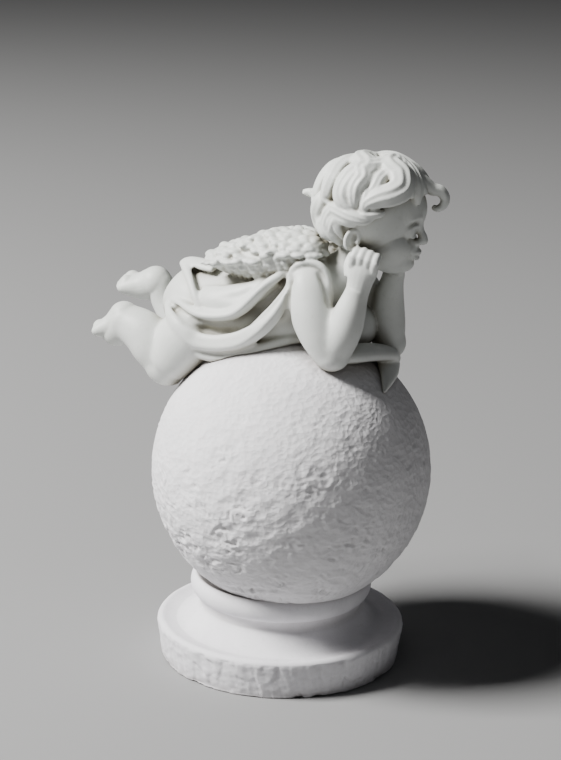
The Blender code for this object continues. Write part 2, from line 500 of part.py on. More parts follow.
def carve_folds(piece):
    """Valleys, crests and creases that sharpen the cloth, and the band down the hip."""
    lower_crest = np.array([(5.1, -13.5, 17.5), (3.7, -14.4, 13.9), (2.0, -16.1, 9.5), (-0.1, -17.3, 6.4),
                            (-2.8, -18.0, 3.3), (-7.2, -18.1, -0.1), (-11.3, -18.1, -1.8),
                            (-16.6, -17.7, -2.8), (-22.3, -17.8, -2.7), (-26.6, -18.2, -0.6)])
    valley = np.array([(3.6, -12.8, 17.4), (2.6, -13.4, 14.4), (1.0, -14.6, 11.0), (-1.8, -15.6, 7.6),
                       (-5.0, -15.8, 4.7), (-8.6, -15.4, 2.8), (-13.2, -14.9, 1.6), (-18.0, -14.7, 1.2),
                       (-22.2, -14.6, 1.8), (-26.1, -14.2, 3.0), (-30.6, -12.6, 4.3), (-35.0, -9.9, 4.6)])
    carve(piece, valley, 2.2, 1.1, 0.1)
    carve(piece, valley + (0.4, 0, 1.4), 0.8, 0.8, 0.15)
    carve(piece, lower_crest, -0.5, 0.9, 0.2)
    # the crest of the upper fold, and a soft hollow above it
    carve(piece, [(0.2, -12.7, 18.4), (-2.7, -14.4, 15.8), (-5.4, -15.6, 12.6), (-8.4, -16.3, 9.3),
                  (-11.7, -16.5, 7.0), (-15.8, -16.5, 5.9), (-20.4, -16.2, 5.4), (-25.2, -15.2, 5.6),
                  (-29.8, -13.4, 6.4)], -0.6, 0.8, 0.2)
    carve(piece, [(-3.6, -12.6, 17.2), (-7.6, -14.0, 13.6), (-12.0, -14.4, 11.4),
                  (-17.0, -14.2, 10.6)], 0.5, 1.3, 0.3)
    # between the tunic and the upper arm, and inside the elbow
    carve(piece, [(5.4, -12.6, 19.6), (5.0, -13.6, 16.4), (5.4, -14.6, 13.2), (6.0, -14.6, 9.6),
                  (6.2, -13.2, 6.0), (6.4, -11.6, 2.4), (7.0, -9.6, -0.6)], 1.7, 0.9, 0.1)
    carve(piece, [(11.7, -10.4, 21.3), (14.0, -11.0, 18.1), (15.2, -11.6, 15.0),
                  (16.7, -12.7, 11.6)], 1.1, 0.8, 0.2)
    # the lower fold's under side, towards the hem
    carve(piece, [(2.6, -12.6, 7.4), (0.2, -14.4, 3.2), (-3.2, -16.0, -0.6), (-8.0, -16.8, -3.4),
                  (-13.6, -17.0, -4.8), (-20.0, -16.6, -5.0), (-26.0, -15.8, -4.0)], 0.8, 0.8, 0.15)
    # where the calf lies against the thigh
    carve(piece, [(-33.6, -15.0, -1.4), (-34.2, -16.4, -5.4), (-35.1, -16.8, -9.4),
                  (-35.8, -16.2, -12.8)], 1.0, 0.8, 0.2)


def add_wing(clay, side, seed):
    """A short wing laid back along the body, side -1 near and 1 far: a thick pad under curled down."""
    rng = np.random.default_rng(seed)
    mirror = np.array((1, -side, 1))
    shift = np.array((0, SPINE, -1.2)) if side > 0 else np.zeros(3)
    inner = smooth_curve([(10.5, -3.6, 25.0), (8.0, -2.4, 28.4), (2.0, -1.6, 29.4), (-4.0, -1.8, 29.4),
                          (-9.5, -2.8, 26.9), (-15.0, -4.6, 25.4), (-19.2, -7.2, 22.8),
                          (-22.0, -9.6, 21.8)], 8)
    outer = smooth_curve([(9.5, -8.6, 24.6), (6.5, -10.4, 25.2), (0.6, -12.0, 24.2), (-5.4, -12.8, 22.6),
                          (-11.0, -13.0, 21.2), (-15.8, -12.8, 20.4), (-19.8, -12.2, 20.0),
                          (-22.4, -11.0, 20.8)], 8)
    under = smooth_curve([(8.5, -6.0, 18.0), (5.0, -7.8, 18.4), (0.0, -8.6, 17.2), (-5.0, -8.4, 15.8),
                          (-10.0, -7.6, 15.4), (-15.0, -6.6, 15.8), (-19.0, -7.8, 17.4),
                          (-21.8, -9.8, 19.4)], 8)
    up = np.array((0.05, -0.34, 0.94))
    out = np.array((0.0, -0.85, -0.2))

    def spot(curve, along):
        place = min(len(curve) - 1.001, max(0.0, along * (len(curve) - 1)))
        step, part = int(place), place % 1
        return curve[step] * (1 - part) + curve[step + 1] * part

    def over(along, across):
        crown = 2.0 * math.sin(math.pi * min(1, max(0, across))) * math.sin(math.pi * min(1, max(0, along)))
        return spot(inner, along) * (1 - across) + spot(outer, along) * across + up * crown

    def below(along, across):
        belly = 1.0 * math.sin(math.pi * across) * math.sin(math.pi * min(1, max(0, along)))
        return spot(outer, along) * (1 - across) + spot(under, along) * across + out * belly

    def set_down(points):
        return [tuple(np.array(p) * mirror + shift) for p in points]

    rings = []
    for along in np.linspace(0, 1, 16):
        top = [over(along, across) for across in np.linspace(0, 1, 8)]
        belly = [below(along, across) for across in np.linspace(0.15, 1, 6)]
        heart = [spot(inner, along) * 0.6 + spot(under, along) * 0.4 - (0, 0, 2.0)]
        ring = np.array(set_down(top + belly + heart))
        rings.append(ring.mean(0) + (ring - ring.mean(0)) * min(1.0, 0.35 + 4 * along))
    clay.loft(rings)
    for row, across in enumerate(np.linspace(1.0, 0.0, 6)):
        for number in range(9):
            along = 0.95 * (number + 0.5 * (row % 2) + rng.uniform(-0.3, 0.3)) / 9
            place = over(along, across + rng.uniform(-0.08, 0.04)) + up * rng.uniform(-0.4, 0.2)
            wide = rng.uniform(1.5, 2.3)
            clay.ball(set_down([place])[0], (wide * 1.1, wide, rng.uniform(1.0, 1.3)), sides=12)
    for row, across in enumerate((0.2, 0.6)):
        for number in range(8):
            along = 0.05 + 0.9 * (number + 0.5 * (row % 2)) / 8
            clay.ball(set_down([below(along, across) - out * 0.7])[0], 1.6, sides=12)
    clay.ball((6.6, SPINE + 5.2 * side, 21.5), (4.0, 3.6, 3.8))


def add_front_cloth(clay):
    """Cloth under the chest and elbows, with a tail on the ball."""
    clay.tube([(12, -9, -3.2, 3.0, 1.6), (18, -4, -3.6, 3.6, 2.0), (21.5, 2, -3.4, 3.8, 2.2),
               (23.5, 8, -4.6, 3.8, 2.4), (22.5, 15, -7.6, 3.6, 2.6)], up=upward)
    clay.tube([(18.0, -9.8, -2.0, 3.0, 2.0), (21.4, -5.2, -1.8, 3.4, 2.2), (23.4, 0.6, -2.4, 3.4, 2.2),
               (24.4, 6.0, -3.6, 3.2, 2.1), (24.2, 11.5, -5.2, 2.8, 2.0), (22.2, 16.6, -6.0, 2.4, 1.8)],
              up=lambda _: (0.35, 0, 0.94))
    # the tail that runs down over the ball to a point
    clay.tube([(22.0, 15.4, -7.2, 4.4, 1.9), (23.6, 11.8, -7.6, 4.3, 1.8), (25.4, 8.0, -8.7, 3.7, 1.6),
               (27.4, 3.4, -9.9, 2.4, 1.2), (28.8, -0.6, -11.2, 1.2, 0.9), (29.5, -3.0, -12.2, 0.4, 0.5)],
              up=lambda place: place + (0, 0, 40))
    # the small corner that hangs over the ball beside the far elbow
    clay.tube([(22.0, 15.0, -6.4, 2.6, 1.8), (24.2, 14.8, -9.0, 2.4, 1.2), (25.6, 13.4, -11.4, 1.2, 0.8)],
              up=lambda place: place + (0, 0, 40))
    # the shaded chest between the arms
    clay.ball((14.5, 7.0, 1.8), (6.2, 10.5, 7.0))


def ball_shape(name, radius, group):
    """A sphere on the ball's centre, with the ball's own facets."""
    mesh = bpy.data.meshes.new(name)
    ball = bmesh.new()
    bmesh.ops.create_uvsphere(ball, u_segments=ROUND_STEPS, v_segments=BALL_RINGS, radius=radius)
    ball.to_mesh(mesh)
    ball.free()
    mesh.shade_smooth()
    thing = object_of(name, mesh, group)
    thing.location = BALL_CENTRE
    return thing


def cut_by(piece, cutter):
    cut = piece.modifiers.new("Seat", "BOOLEAN")
    cut.operation = "DIFFERENCE"
    cut.solver = "EXACT"
    cut.object = cutter


def make_figure(group, cutter):
    body = Clay()
    add_trunk(body)
    add_arms(body)
    add_legs(body)
    tunic = Clay()
    tunic.add(body.model(SKIN_GRAIN, 5))
    add_folds(tunic)
    clothed = tunic.model(SKIN_GRAIN * 0.8, 3)
    carve_folds(clothed)
    tilt = Euler([math.radians(a) for a in HEAD_TURN]).to_matrix().to_4x4()
    head_frame = Matrix.Translation(HEAD_CENTRE) @ tilt @ Matrix.Scale(HEAD_SIZE, 4)
    head = Clay(head_frame)
    add_head(head)
    face = head.model(SKIN_GRAIN * 0.8, 3)
    carve_face(face, head_frame)
    whole = Clay(head_frame)
    whole.add(clothed)
    whole.add(face)
    add_features(whole)
    add_hair(whole)
    whole.frame = Matrix.Identity(4)
    for foot in FEET:
        add_foot(whole, *foot)
    for hand in HANDS:
        add_hand(whole, *hand)
    for side, seed in ((-1, 3), (1, 5)):
        add_wing(whole, side, seed)
    add_front_cloth(whole)
    figure = whole.model(DETAIL_GRAIN, 1)
    thin = figure.modifiers.new("Thin", "DECIMATE")
    thin.ratio = FIGURE_FACES / (2 * len(figure.data.polygons))
    settled(figure)
    figure.name = "angel_figure"
    figure.data.name = "angel_figure"
    bpy.context.scene.collection.objects.unlink(figure)
    group.objects.link(figure)
    figure.data.transform(Matrix.Scale(UNIT, 4))
    figure.location = BALL_TOP
    cut_by(figure, cutter)
    return figure


def arc(centre, radius, start, end, count):
    """Points of a round in the turned profile, as distance from the axis and height."""
    return [(centre[0] + radius * math.cos(a), centre[1] + radius * math.sin(a))
            for a in np.radians(np.linspace(start, end, count))]


def plinth_profile():
    """Collar, waist, cove, trough and lip, down to the leaning side, from the axis to the axis."""
    ring = COLLAR_THICKNESS / 2
    trough = PLINTH_RADIUS - LIP_RADIUS - TROUGH_WIDTH
    floor = RIM_HEIGHT - TROUGH_DEPTH
    cove = []
    for turn in np.radians(np.linspace(0, 90, 5))[1:]:
        cove.append((trough - (trough - WAIST_RADIUS) * (1 - math.sin(turn)) ** 0.9,
                     floor + (WAIST_HEIGHT - floor) * (1 - math.sin(turn)) ** 1.6))
    profile = [(0, COLLAR_MIDDLE + ring)]
    profile += arc((COLLAR_RADIUS - ring, COLLAR_MIDDLE), ring, 90, -70, 8)
    profile += [(WAIST_RADIUS, WAIST_HEIGHT)] + cove
    profile += arc((PLINTH_RADIUS - LIP_RADIUS, RIM_HEIGHT - LIP_RADIUS), LIP_RADIUS, 120, 0, 4)
    profile += [(PLINTH_RADIUS - PLINTH_LEAN, 0), (0, 0)]
    return profile


def make_plinth(group, cutter):
    outline = bmesh.new()
    points = [outline.verts.new((radius, 0, height)) for radius, height in plinth_profile()]
    for start, end in zip(points, points[1:]):
        outline.edges.new((start, end))
    mesh = bpy.data.meshes.new("round_plinth")
    outline.to_mesh(mesh)
    outline.free()
    plinth = object_of("round_plinth", mesh, group)
    turn = plinth.modifiers.new("Turn", "SCREW")
    turn.steps = turn.render_steps = ROUND_STEPS
    turn.use_merge_vertices = True
    turn.merge_threshold = 0.00001
    turn.use_smooth_shade = True
    cut_by(plinth, cutter)
    return plinth


def main():
    clear_scene()
    parts = new_collection("angel_figurine")
    cutters = new_collection("cutters", helper=True)
    cutter = ball_shape("ball_seat", BALL_RADIUS + CLEARANCE, cutters)
    cutter.hide_render = True
    cutter.display_type = "WIRE"
    plinth = make_plinth(parts, cutter)
    plinth.data.materials.append(finish_of(*PLINTH_PLASTER))
    ball = ball_shape("textured_ball", BALL_RADIUS, parts)
    ball.data.materials.append(finish_of(*BALL_PLASTER))
    figure = make_figure(parts, cutter)
    figure.data.materials.clear()
    figure.data.materials.append(finish_of(*PORCELAIN))
    figure.data.shade_smooth()


main()
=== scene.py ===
"""Looks of the cast angel figurine: a finely modelled figure on a rough ball and a tooled plinth."""
import json
import math

import bmesh
import bpy
import numpy as np
from mathutils import Euler, Matrix, Vector, kdtree

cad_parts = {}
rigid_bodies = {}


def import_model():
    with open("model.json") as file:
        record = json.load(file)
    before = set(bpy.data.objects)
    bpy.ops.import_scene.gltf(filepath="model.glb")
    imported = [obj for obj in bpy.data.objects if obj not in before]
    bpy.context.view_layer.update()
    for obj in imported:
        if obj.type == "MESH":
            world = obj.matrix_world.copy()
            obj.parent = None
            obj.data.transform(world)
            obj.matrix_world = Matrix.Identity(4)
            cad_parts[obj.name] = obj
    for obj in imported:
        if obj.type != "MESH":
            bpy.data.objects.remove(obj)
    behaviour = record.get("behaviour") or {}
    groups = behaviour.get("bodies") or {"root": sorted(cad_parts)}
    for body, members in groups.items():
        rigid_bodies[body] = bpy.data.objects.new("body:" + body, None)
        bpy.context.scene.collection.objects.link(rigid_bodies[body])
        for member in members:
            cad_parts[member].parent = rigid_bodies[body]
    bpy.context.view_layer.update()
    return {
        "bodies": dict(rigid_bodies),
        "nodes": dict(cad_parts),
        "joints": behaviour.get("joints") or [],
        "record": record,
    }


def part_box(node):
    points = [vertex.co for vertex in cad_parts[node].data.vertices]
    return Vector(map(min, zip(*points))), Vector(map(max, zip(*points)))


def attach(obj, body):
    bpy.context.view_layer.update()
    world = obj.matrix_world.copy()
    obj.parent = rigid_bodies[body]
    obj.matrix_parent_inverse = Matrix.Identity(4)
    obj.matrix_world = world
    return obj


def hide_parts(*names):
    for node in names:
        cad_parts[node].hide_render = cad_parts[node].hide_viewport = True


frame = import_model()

# Sizes read from the frame
BALL_LOW, BALL_HIGH = (np.array(corner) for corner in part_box("textured_ball"))
BALL_CENTRE = Vector((BALL_LOW + BALL_HIGH) / 2)
BALL_RADIUS = (BALL_HIGH[2] - BALL_LOW[2]) / 2
BALL_TOP = BALL_CENTRE + Vector((0, 0, BALL_RADIUS))
PLINTH_LOW, PLINTH_HIGH = (np.array(corner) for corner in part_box("round_plinth"))
PLINTH_RADIUS = (PLINTH_HIGH[0] - PLINTH_LOW[0]) / 2

# The figure is worked in hundredths of its length, as its solid is
UNIT = 0.001
MM_PER_M = 1000
HEAD_SIZE = 0.90
HEAD_CENTRE = (21.8, 3.6, 34.4)
HEAD_TURN = (0, 6, 13)
HIP_X = -22
SPINE = 2.4
SEAM = 0.0003

# Mesh fineness
SKIN_GRAIN = 0.50
CLOTH_GRAIN = 0.8 * SKIN_GRAIN
DETAIL_GRAIN = 0.25
CAST_GRAIN = 0.27
THINNEST = 0.05
MOST_TRIANGLES = 190000


def object_of(name, mesh):
    thing = bpy.data.objects.new(name, mesh)
    bpy.context.scene.collection.objects.link(thing)
    return thing


def smooth_curve(rows, steps):
    """Catmull-Rom curve through rows of numbers."""
    rows = np.array(rows, float)
    rows = np.vstack([2 * rows[0] - rows[1], rows, 2 * rows[-1] - rows[-2]])
    points = []
    for before, start, end, after in zip(rows, rows[1:], rows[2:], rows[3:]):
        for t in np.arange(steps) / steps:
            straight = 2 * start + (end - before) * t
            bend = (2 * before - 5 * start + 4 * end - after) * t * t
            twist = (3 * start - before - 3 * end + after) * t**3
            points.append((straight + bend + twist) / 2)
    return np.array(points + [rows[-2]])


def unit(vector):
    return vector / (np.linalg.norm(vector) + 1e-12)


def settled(piece):
    """The object with its modifiers made part of its mesh."""
    graph = bpy.context.evaluated_depsgraph_get()
    mesh = bpy.data.meshes.new_from_object(piece.evaluated_get(graph))
    old = piece.data
    piece.modifiers.clear()
    piece.data = mesh
    bpy.data.meshes.remove(old)
    return piece


class Clay:
    """Closed forms gathered in one mesh, which overlap and are fused afterwards."""

    def __init__(self, frame=None):
        self.mesh = bmesh.new()
        self.frame = frame or Matrix.Identity(4)

    def ball(self, centre, radii, sides=24):
        size = Matrix.Diagonal((*radii, 1)) if isinstance(radii, tuple) else Matrix.Scale(radii, 4)
        place = self.frame @ Matrix.Translation(centre) @ size
        form = bmesh.new()
        bmesh.ops.create_uvsphere(form, u_segments=sides, v_segments=sides * 2 // 3, radius=1, matrix=place)
        mesh = bpy.data.meshes.new("form")
        form.to_mesh(mesh)
        form.free()
        self.mesh.from_mesh(mesh)
        bpy.data.meshes.remove(mesh)

    def tube(self, rows, up=None, sides=16, steps=6, section=None):
        """A limb through rows of x, y, z, half width and half height, with its height towards up."""
        rows = [row if len(row) == 5 else (*row, row[3]) for row in rows]
        curve = smooth_curve(rows, steps)
        places, widths, heights = curve[:, :3], curve[:, 3], curve[:, 4]
        along = np.gradient(places, axis=0)
        rise = np.array((0, 0, 1.0))
        if up is None and abs(unit(along[0])[2]) > 0.9:
            rise = np.array((1.0, 0, 0))
        turns = np.arange(sides) * math.tau / sides
        across, over = np.cos(turns), np.sin(turns)
        if section:
            over = over * np.array([section(a, o) for a, o in zip(across, over)])
        rings = []
        for place, way, width, height in zip(places, along, widths, heights):
            way = unit(way)
            if up is not None:
                rise = np.array(up(place), float)
            rise = unit(rise - way * (rise @ way))
            side = np.cross(way, rise)
            ring = place + np.outer(across, side * max(width, THINNEST))
            rings.append(ring + np.outer(over, rise * max(height, THINNEST)))
        self.loft(rings)

    def loft(self, rings):
        """A closed skin over rings of equally many points."""
        rings = [[self.mesh.verts.new(self.frame @ Vector(p)) for p in ring] for ring in rings]
        for ring, following in zip(rings, rings[1:]):
            for i in range(len(ring)):
                j = (i + 1) % len(ring)
                self.mesh.faces.new((ring[i], ring[j], following[j], following[i]))
        self.mesh.faces.new(rings[0][::-1])
        self.mesh.faces.new(rings[-1])

    def add(self, piece):
        self.mesh.from_mesh(piece.data)
        bpy.data.objects.remove(piece)

    def model(self, grain, softening, name="clay"):
        """The forms fused into one skin of this grain, then softened."""
        bmesh.ops.recalc_face_normals(self.mesh, faces=self.mesh.faces[:])
        mesh = bpy.data.meshes.new(name)
        self.mesh.to_mesh(mesh)
        self.mesh.free()
        piece = object_of(name, mesh)
        fuse = piece.modifiers.new("Fuse", "REMESH")
        fuse.mode = "VOXEL"
        fuse.voxel_size = grain
        if softening:
            soften = piece.modifiers.new("Soften", "SMOOTH")
            soften.factor = 0.5
            soften.iterations = softening
        return settled(piece)


def carve(piece, line, depth, width, fade=0.12):
    """A soft groove along a line, or a ridge where depth is below zero, that fades at both ends."""
    count = len(piece.data.vertices)
    places = np.empty(count * 3, np.float32)
    normals = np.empty(count * 3, np.float32)
    piece.data.vertices.foreach_get("co", places)
    piece.data.vertices.foreach_get("normal", normals)
    places, normals = places.reshape(-1, 3), normals.reshape(-1, 3)
    line = smooth_curve(line, 5)
    reach = 3 * width
    near = np.where(((places > line.min(0) - reach) & (places < line.max(0) + reach)).all(1))[0]
    spots = places[near]
    nearest = np.full(len(near), 1e9)
    along = np.zeros(len(near))
    for number, (start, end) in enumerate(zip(line, line[1:])):
        way = end - start
        t = np.clip(((spots - start) @ way) / (way @ way), 0, 1)
        away = np.linalg.norm(spots - start - t[:, None] * way, axis=1)
        closer = away < nearest
        nearest[closer] = away[closer]
        along[closer] = (number + t[closer]) / (len(line) - 1)
    ends = np.clip(np.minimum(along, 1 - along) / fade, 0, 1)
    push = depth * np.exp(-((nearest / width) ** 2)) * ends
    places[near] = spots - normals[near] * push[:, None]
    piece.data.vertices.foreach_set("co", places.ravel())
    piece.data.update()


def upward(_):
    return (0, 0, 1)


def outward(place):
    """Away from the near side, turned back and up where the cloth goes round the hip."""
    past_hip = min(0, place[0] - HIP_X)
    return (0.04 * past_hip, -1, 0.15 - 0.03 * past_hip)


def add_trunk(clay):
    """Trunk and neck from the seat to the chin, and the tunic's seat."""
    clay.tube([
        (-40, 1.5, 0.0, 5.0, 4.5), (-37.5, 1.4, 1.4, 8.6, 8.2), (-34.5, 1.2, 2.4, 11.2, 10.8),
        (-30.5, 1.0, 3.4, 13.0, 12.2), (-24, 1.0, 4.6, 13.4, 12.4), (-16, 1.5, 6.2, 12.8, 11.9),
        (-7, 2.0, 9, 12.6, 11.5), (4, 2.4, 12, 12.4, 10.6), (11, 2.8, 15.4, 10.6, 8.6),
        (15.5, 3.2, 20.5, 6.0, 6.4), (18, 3.5, 27, 4.9, 5.2),
    ], up=upward, sides=36, steps=8)
    # seat of the tunic, spread towards the ball
    clay.tube([
        (-38, 1, -1, 6.5, 5), (-34, 1, -1.5, 12.0, 8.4), (-26, 0.8, -0.5, 15.0, 9.6),
        (-16, 0.8, 1.0, 15.4, 9.8), (-7, 1.2, 2.5, 14.6, 10), (0, 1.8, 4.5, 12.4, 10),
        (8, 2.6, 6.5, 9.6, 9), (14, 3, 7, 7.6, 8),
    ], up=upward, sides=36, steps=6)


def add_arms(clay):
    """Both arms, upper and lower, and the elbows that rest on the ball."""
    near_upper = [(5.5, -3, 18, 6.2, 5.8), (8.2, -8.0, 16.6, 6.4, 6.0), (10.6, -11.4, 10.5, 6.1, 5.9),
                  (13.6, -12, 4.5, 5.8, 5.8), (16.6, -11.6, -0.5, 5.0, 5.0)]
    near_lower = [(17.0, -11.4, -1.4, 4.6), (18.8, -11.2, 2.4, 5.2), (20.6, -10.8, 6.6, 5.0),
                  (22.0, -10.3, 11.4, 4.3), (23.2, -9.8, 15.8, 3.4), (24.0, -9.8, 18.2, 3.3)]
    far_upper = [(5, 7, 18, 6.2, 6), (8.5, 13.0, 16.5, 6.2, 6.0), (12.5, 16.6, 10.5, 5.9, 5.7),
                 (17, 17.6, 4, 5.3, 5.1), (21.3, 16.8, -2.5, 4.6, 4.6)]
    far_lower = [(21.6, 16.4, -3.4, 4.5), (21.4, 16.0, 1.5, 5.0), (21.4, 15.4, 6.8, 4.8),
                 (22.2, 14.4, 11.6, 4.1), (23.4, 13.4, 15.6, 3.3), (24.2, 12.8, 18.5, 3.2)]
    for limb in (near_upper, near_lower, far_upper, far_lower):
        clay.tube(limb, sides=24)
    clay.ball((17.2, -11.4, -1.2), (5.3, 4.9, 4.9))
    clay.ball((21.8, 16.4, -3.4), (5.0, 4.8, 4.8))


def add_legs(clay):
    """Thighs, raised calves, knees, heels and insteps."""
    near_thigh = [(-22, -4, 3, 9, 9), (-28, -8.5, -2.5, 9.6, 9.2), (-32, -11, -8.5, 8.4, 8.2),
                  (-34, -11.4, -12, 7.0, 6.8)]
    near_calf = [(-34.5, -11.4, -11.5, 5.8), (-38.6, -11.3, -7.2, 6.8), (-42.0, -11.3, -4.0, 6.5),
                 (-45.0, -11.3, -2.4, 6.0), (-48.0, -11.3, -1.4, 5.4)]
    far_thigh = [(-22, 8, 3, 9, 9), (-28, 10, -3, 9, 9), (-34, 11, -9, 8, 8), (-37, 11, -12, 6.4, 6.4)]
    far_calf = [(-37.5, 11, -12, 5.8), (-41, 11, -7, 6.4), (-45, 10.8, -3, 5.6),
                (-48.4, 10.4, 1.0, 4.5), (-50.0, 10.0, 4.5, 4.2)]
    for limb in (near_thigh, near_calf, far_thigh, far_calf):
        clay.tube(limb, sides=24)
    clay.ball((-34.6, -11.4, -11.6), (6.8, 6.4, 6.4))
    clay.ball((-37.5, 11, -12), 6.2)
    clay.ball((-48.6, -11.4, -1.0), 5.3)
    clay.ball((-51.4, -11.9, -4.0), (4.9, 4.6, 4.7))
    clay.ball((-50.6, 10.0, 5.4), (4.6, 4.3, 4.6))
    clay.ball((-57.6, 9.4, 4.0), (4.6, 4.2, 3.6))


def add_foot(clay, heel, toes, sole, size):
    """A bare foot from the middle of its heel to its toes' tips; sole points out of the sole."""
    heel, toes, sole = (np.array(v, float) for v in (heel, toes, sole))
    length = np.linalg.norm(toes - heel)
    way = unit(toes - heel)
    sole = unit(sole - way * (sole @ way))
    side = np.cross(way, sole)

    def at(share, out, across=0.0):
        return tuple(heel + way * share * length + (sole * out + side * across) * size)

    clay.ball(at(0, 0), 4.2 * size)
    sections = ((-0.06, 0, 3.4, 3.8), (0.14, -0.4, 4.0, 4.2), (0.38, -0.5, 4.1, 3.8), (0.62, 0, 4.5, 3.1),
                (0.82, 0.5, 4.7, 2.4), (0.94, 0.6, 4.1, 1.9))
    clay.tube([(*at(share, out), width * size, height * size) for share, out, width, height in sections],
              up=lambda _: sole, sides=24)
    clay.ball(at(0.75, 1.2, 1.9), 2.3 * size)
    clay.ball(at(0.74, 1.2, -1.7), 2.1 * size)
    for across, radius, share in ((3.2, 1.9, 0.96), (1.15, 1.45, 1.0), (-0.6, 1.35, 0.97),
                                  (-2.1, 1.25, 0.92), (-3.4, 1.15, 0.85)):
        clay.ball(at(share, 0.7, across), radius * size, sides=16)
        clay.ball(at(share - 0.1, 0.4, across), radius * 0.84 * size, sides=16)


def add_hand(clay, wrist, along, back, size):
    """A loose fist: the knuckles lie along the given way from the wrist, back points out of its back."""
    wrist, along, back = np.array(wrist, float), unit(np.array(along, float)), np.array(back, float)
    back = unit(back - along * (back @ along))
    side = np.cross(back, along)

    def at(forward, out, across):
        return tuple(wrist + (along * forward + back * out + side * across) * size)

    palm = ((-1.8, 0, 3.3, 3.1), (1.2, -0.2, 3.6, 2.9), (4.2, -0.2, 4.2, 2.7), (6.4, -0.4, 4.3, 2.3))
    clay.tube([(*at(forward, out, 0), width * size, height * size) for forward, out, width, height in palm],
              up=lambda _: back)
    for finger in range(4):
        across = (1.5 - finger) * 2.1
        short = 0.3 * abs(1.2 - finger)
        bones = ((5.6 - short, 0.6, 1.15), (8.3 - short, 1.0, 1.2), (9.9 - short, -0.7, 1.14),
                 (9.1 - short, -2.9, 1.0), (7.2, -3.7, 0.85))
        clay.tube([(*at(forward, out, across * (1 - 0.04 * bone)), radius * size)
                   for bone, (forward, out, radius) in enumerate(bones)], sides=14, steps=5)
        clay.ball(at(8.3 - short, 1.0, across), 1.28 * size, sides=14)
    thumb = ((2.0, -1, 3.0, 1.9), (4.4, -2.0, 4.3, 1.6), (6.9, -3.0, 4.3, 1.3), (8.4, -3.5, 3.5, 1.05))
    clay.tube([(*at(*place), radius * size) for *place, radius in thumb], sides=14)


def add_head(clay):
    """Skull, cheeks, jaw, brow, nose and neck of a small child, in the head's own frame."""
    for centre, radii in (((-1.5, 0, 2.2), (15.2, 13.4, 14.2)), ((4.6, 0, 4.2), (10.8, 11.4, 10.4)),
                          ((3.8, 0, -6.6), (9.6, 10.2, 8.4)), ((7.6, 5.0, -6.2), (5.5, 5.3, 5.0)),
                          ((7.6, -5.0, -6.2), (5.5, 5.3, 5.0)), ((10.2, 0, -11.6), (3.8, 3.9, 3.3)),
                          ((6.5, 0, -12.6), (5.5, 5.5, 3.2)), ((11.6, 0, -7.6), (3.3, 4.0, 3.2))):
        clay.ball(centre, radii, sides=36)
    clay.tube([(13.6, 0, 2.2, 1.2, 1.0), (14.4, 0, -1.2, 1.3, 1.2), (15.6, 0, -3.4, 1.6, 1.4),
               (15.6, 0, -4.6, 1.6, 1.2)], up=lambda _: (1, 0, 0), sides=14)
    clay.ball((15.5, 0, -4.1), (1.75, 1.8, 1.5))
    for side in (1, -1):
        clay.ball((14.4, 1.5 * side, -4.6), (1.3, 1.15, 1.0))
        brow = [(14.2, 1.6 * side, 2.2, 0.8), (13.9, 4.2 * side, 3.6, 1.1), (12.2, 7.4 * side, 3.0, 0.9)]
        clay.tube(brow, sides=12)


def carve_face(piece, frame):
    """Soft sockets round the eyes, and the dents beside the nose, the lips and the chin."""
    for side in (1, -1):
        for line, depth, width in (
                (((14.6, 1.9, -0.2), (14.2, 3.0, 1.4), (13.8, 4.8, 2.0), (12.6, 6.8, 1.4),
                  (11.4, 8.4, -0.2)), 0.7, 1.0),
                (((14.4, 2.0, -0.4), (13.8, 3.2, -3.2), (13.0, 5.2, -3.6), (11.8, 7.2, -2.8)), 0.6, 1.1),
                (((15.0, 1.9, -3.2), (14.2, 3.2, -4.6), (13.2, 4.2, -6.4)), 0.35, 0.7),
                (((13.6, 3.1, -8.4), (13.0, 3.6, -9.0)), 0.5, 0.6)):
            spots = [tuple(frame @ Vector((x, y * side, z))) for x, y, z in line]
            carve(piece, spots, depth * HEAD_SIZE, width * HEAD_SIZE, 0.25)
    chin_crease = ((13.6, -2.0, -10.4), (14.0, 0, -10.7), (13.6, 2.0, -10.4))
    carve(piece, [tuple(frame @ Vector(spot)) for spot in chin_crease], 0.4, 0.6, 0.3)


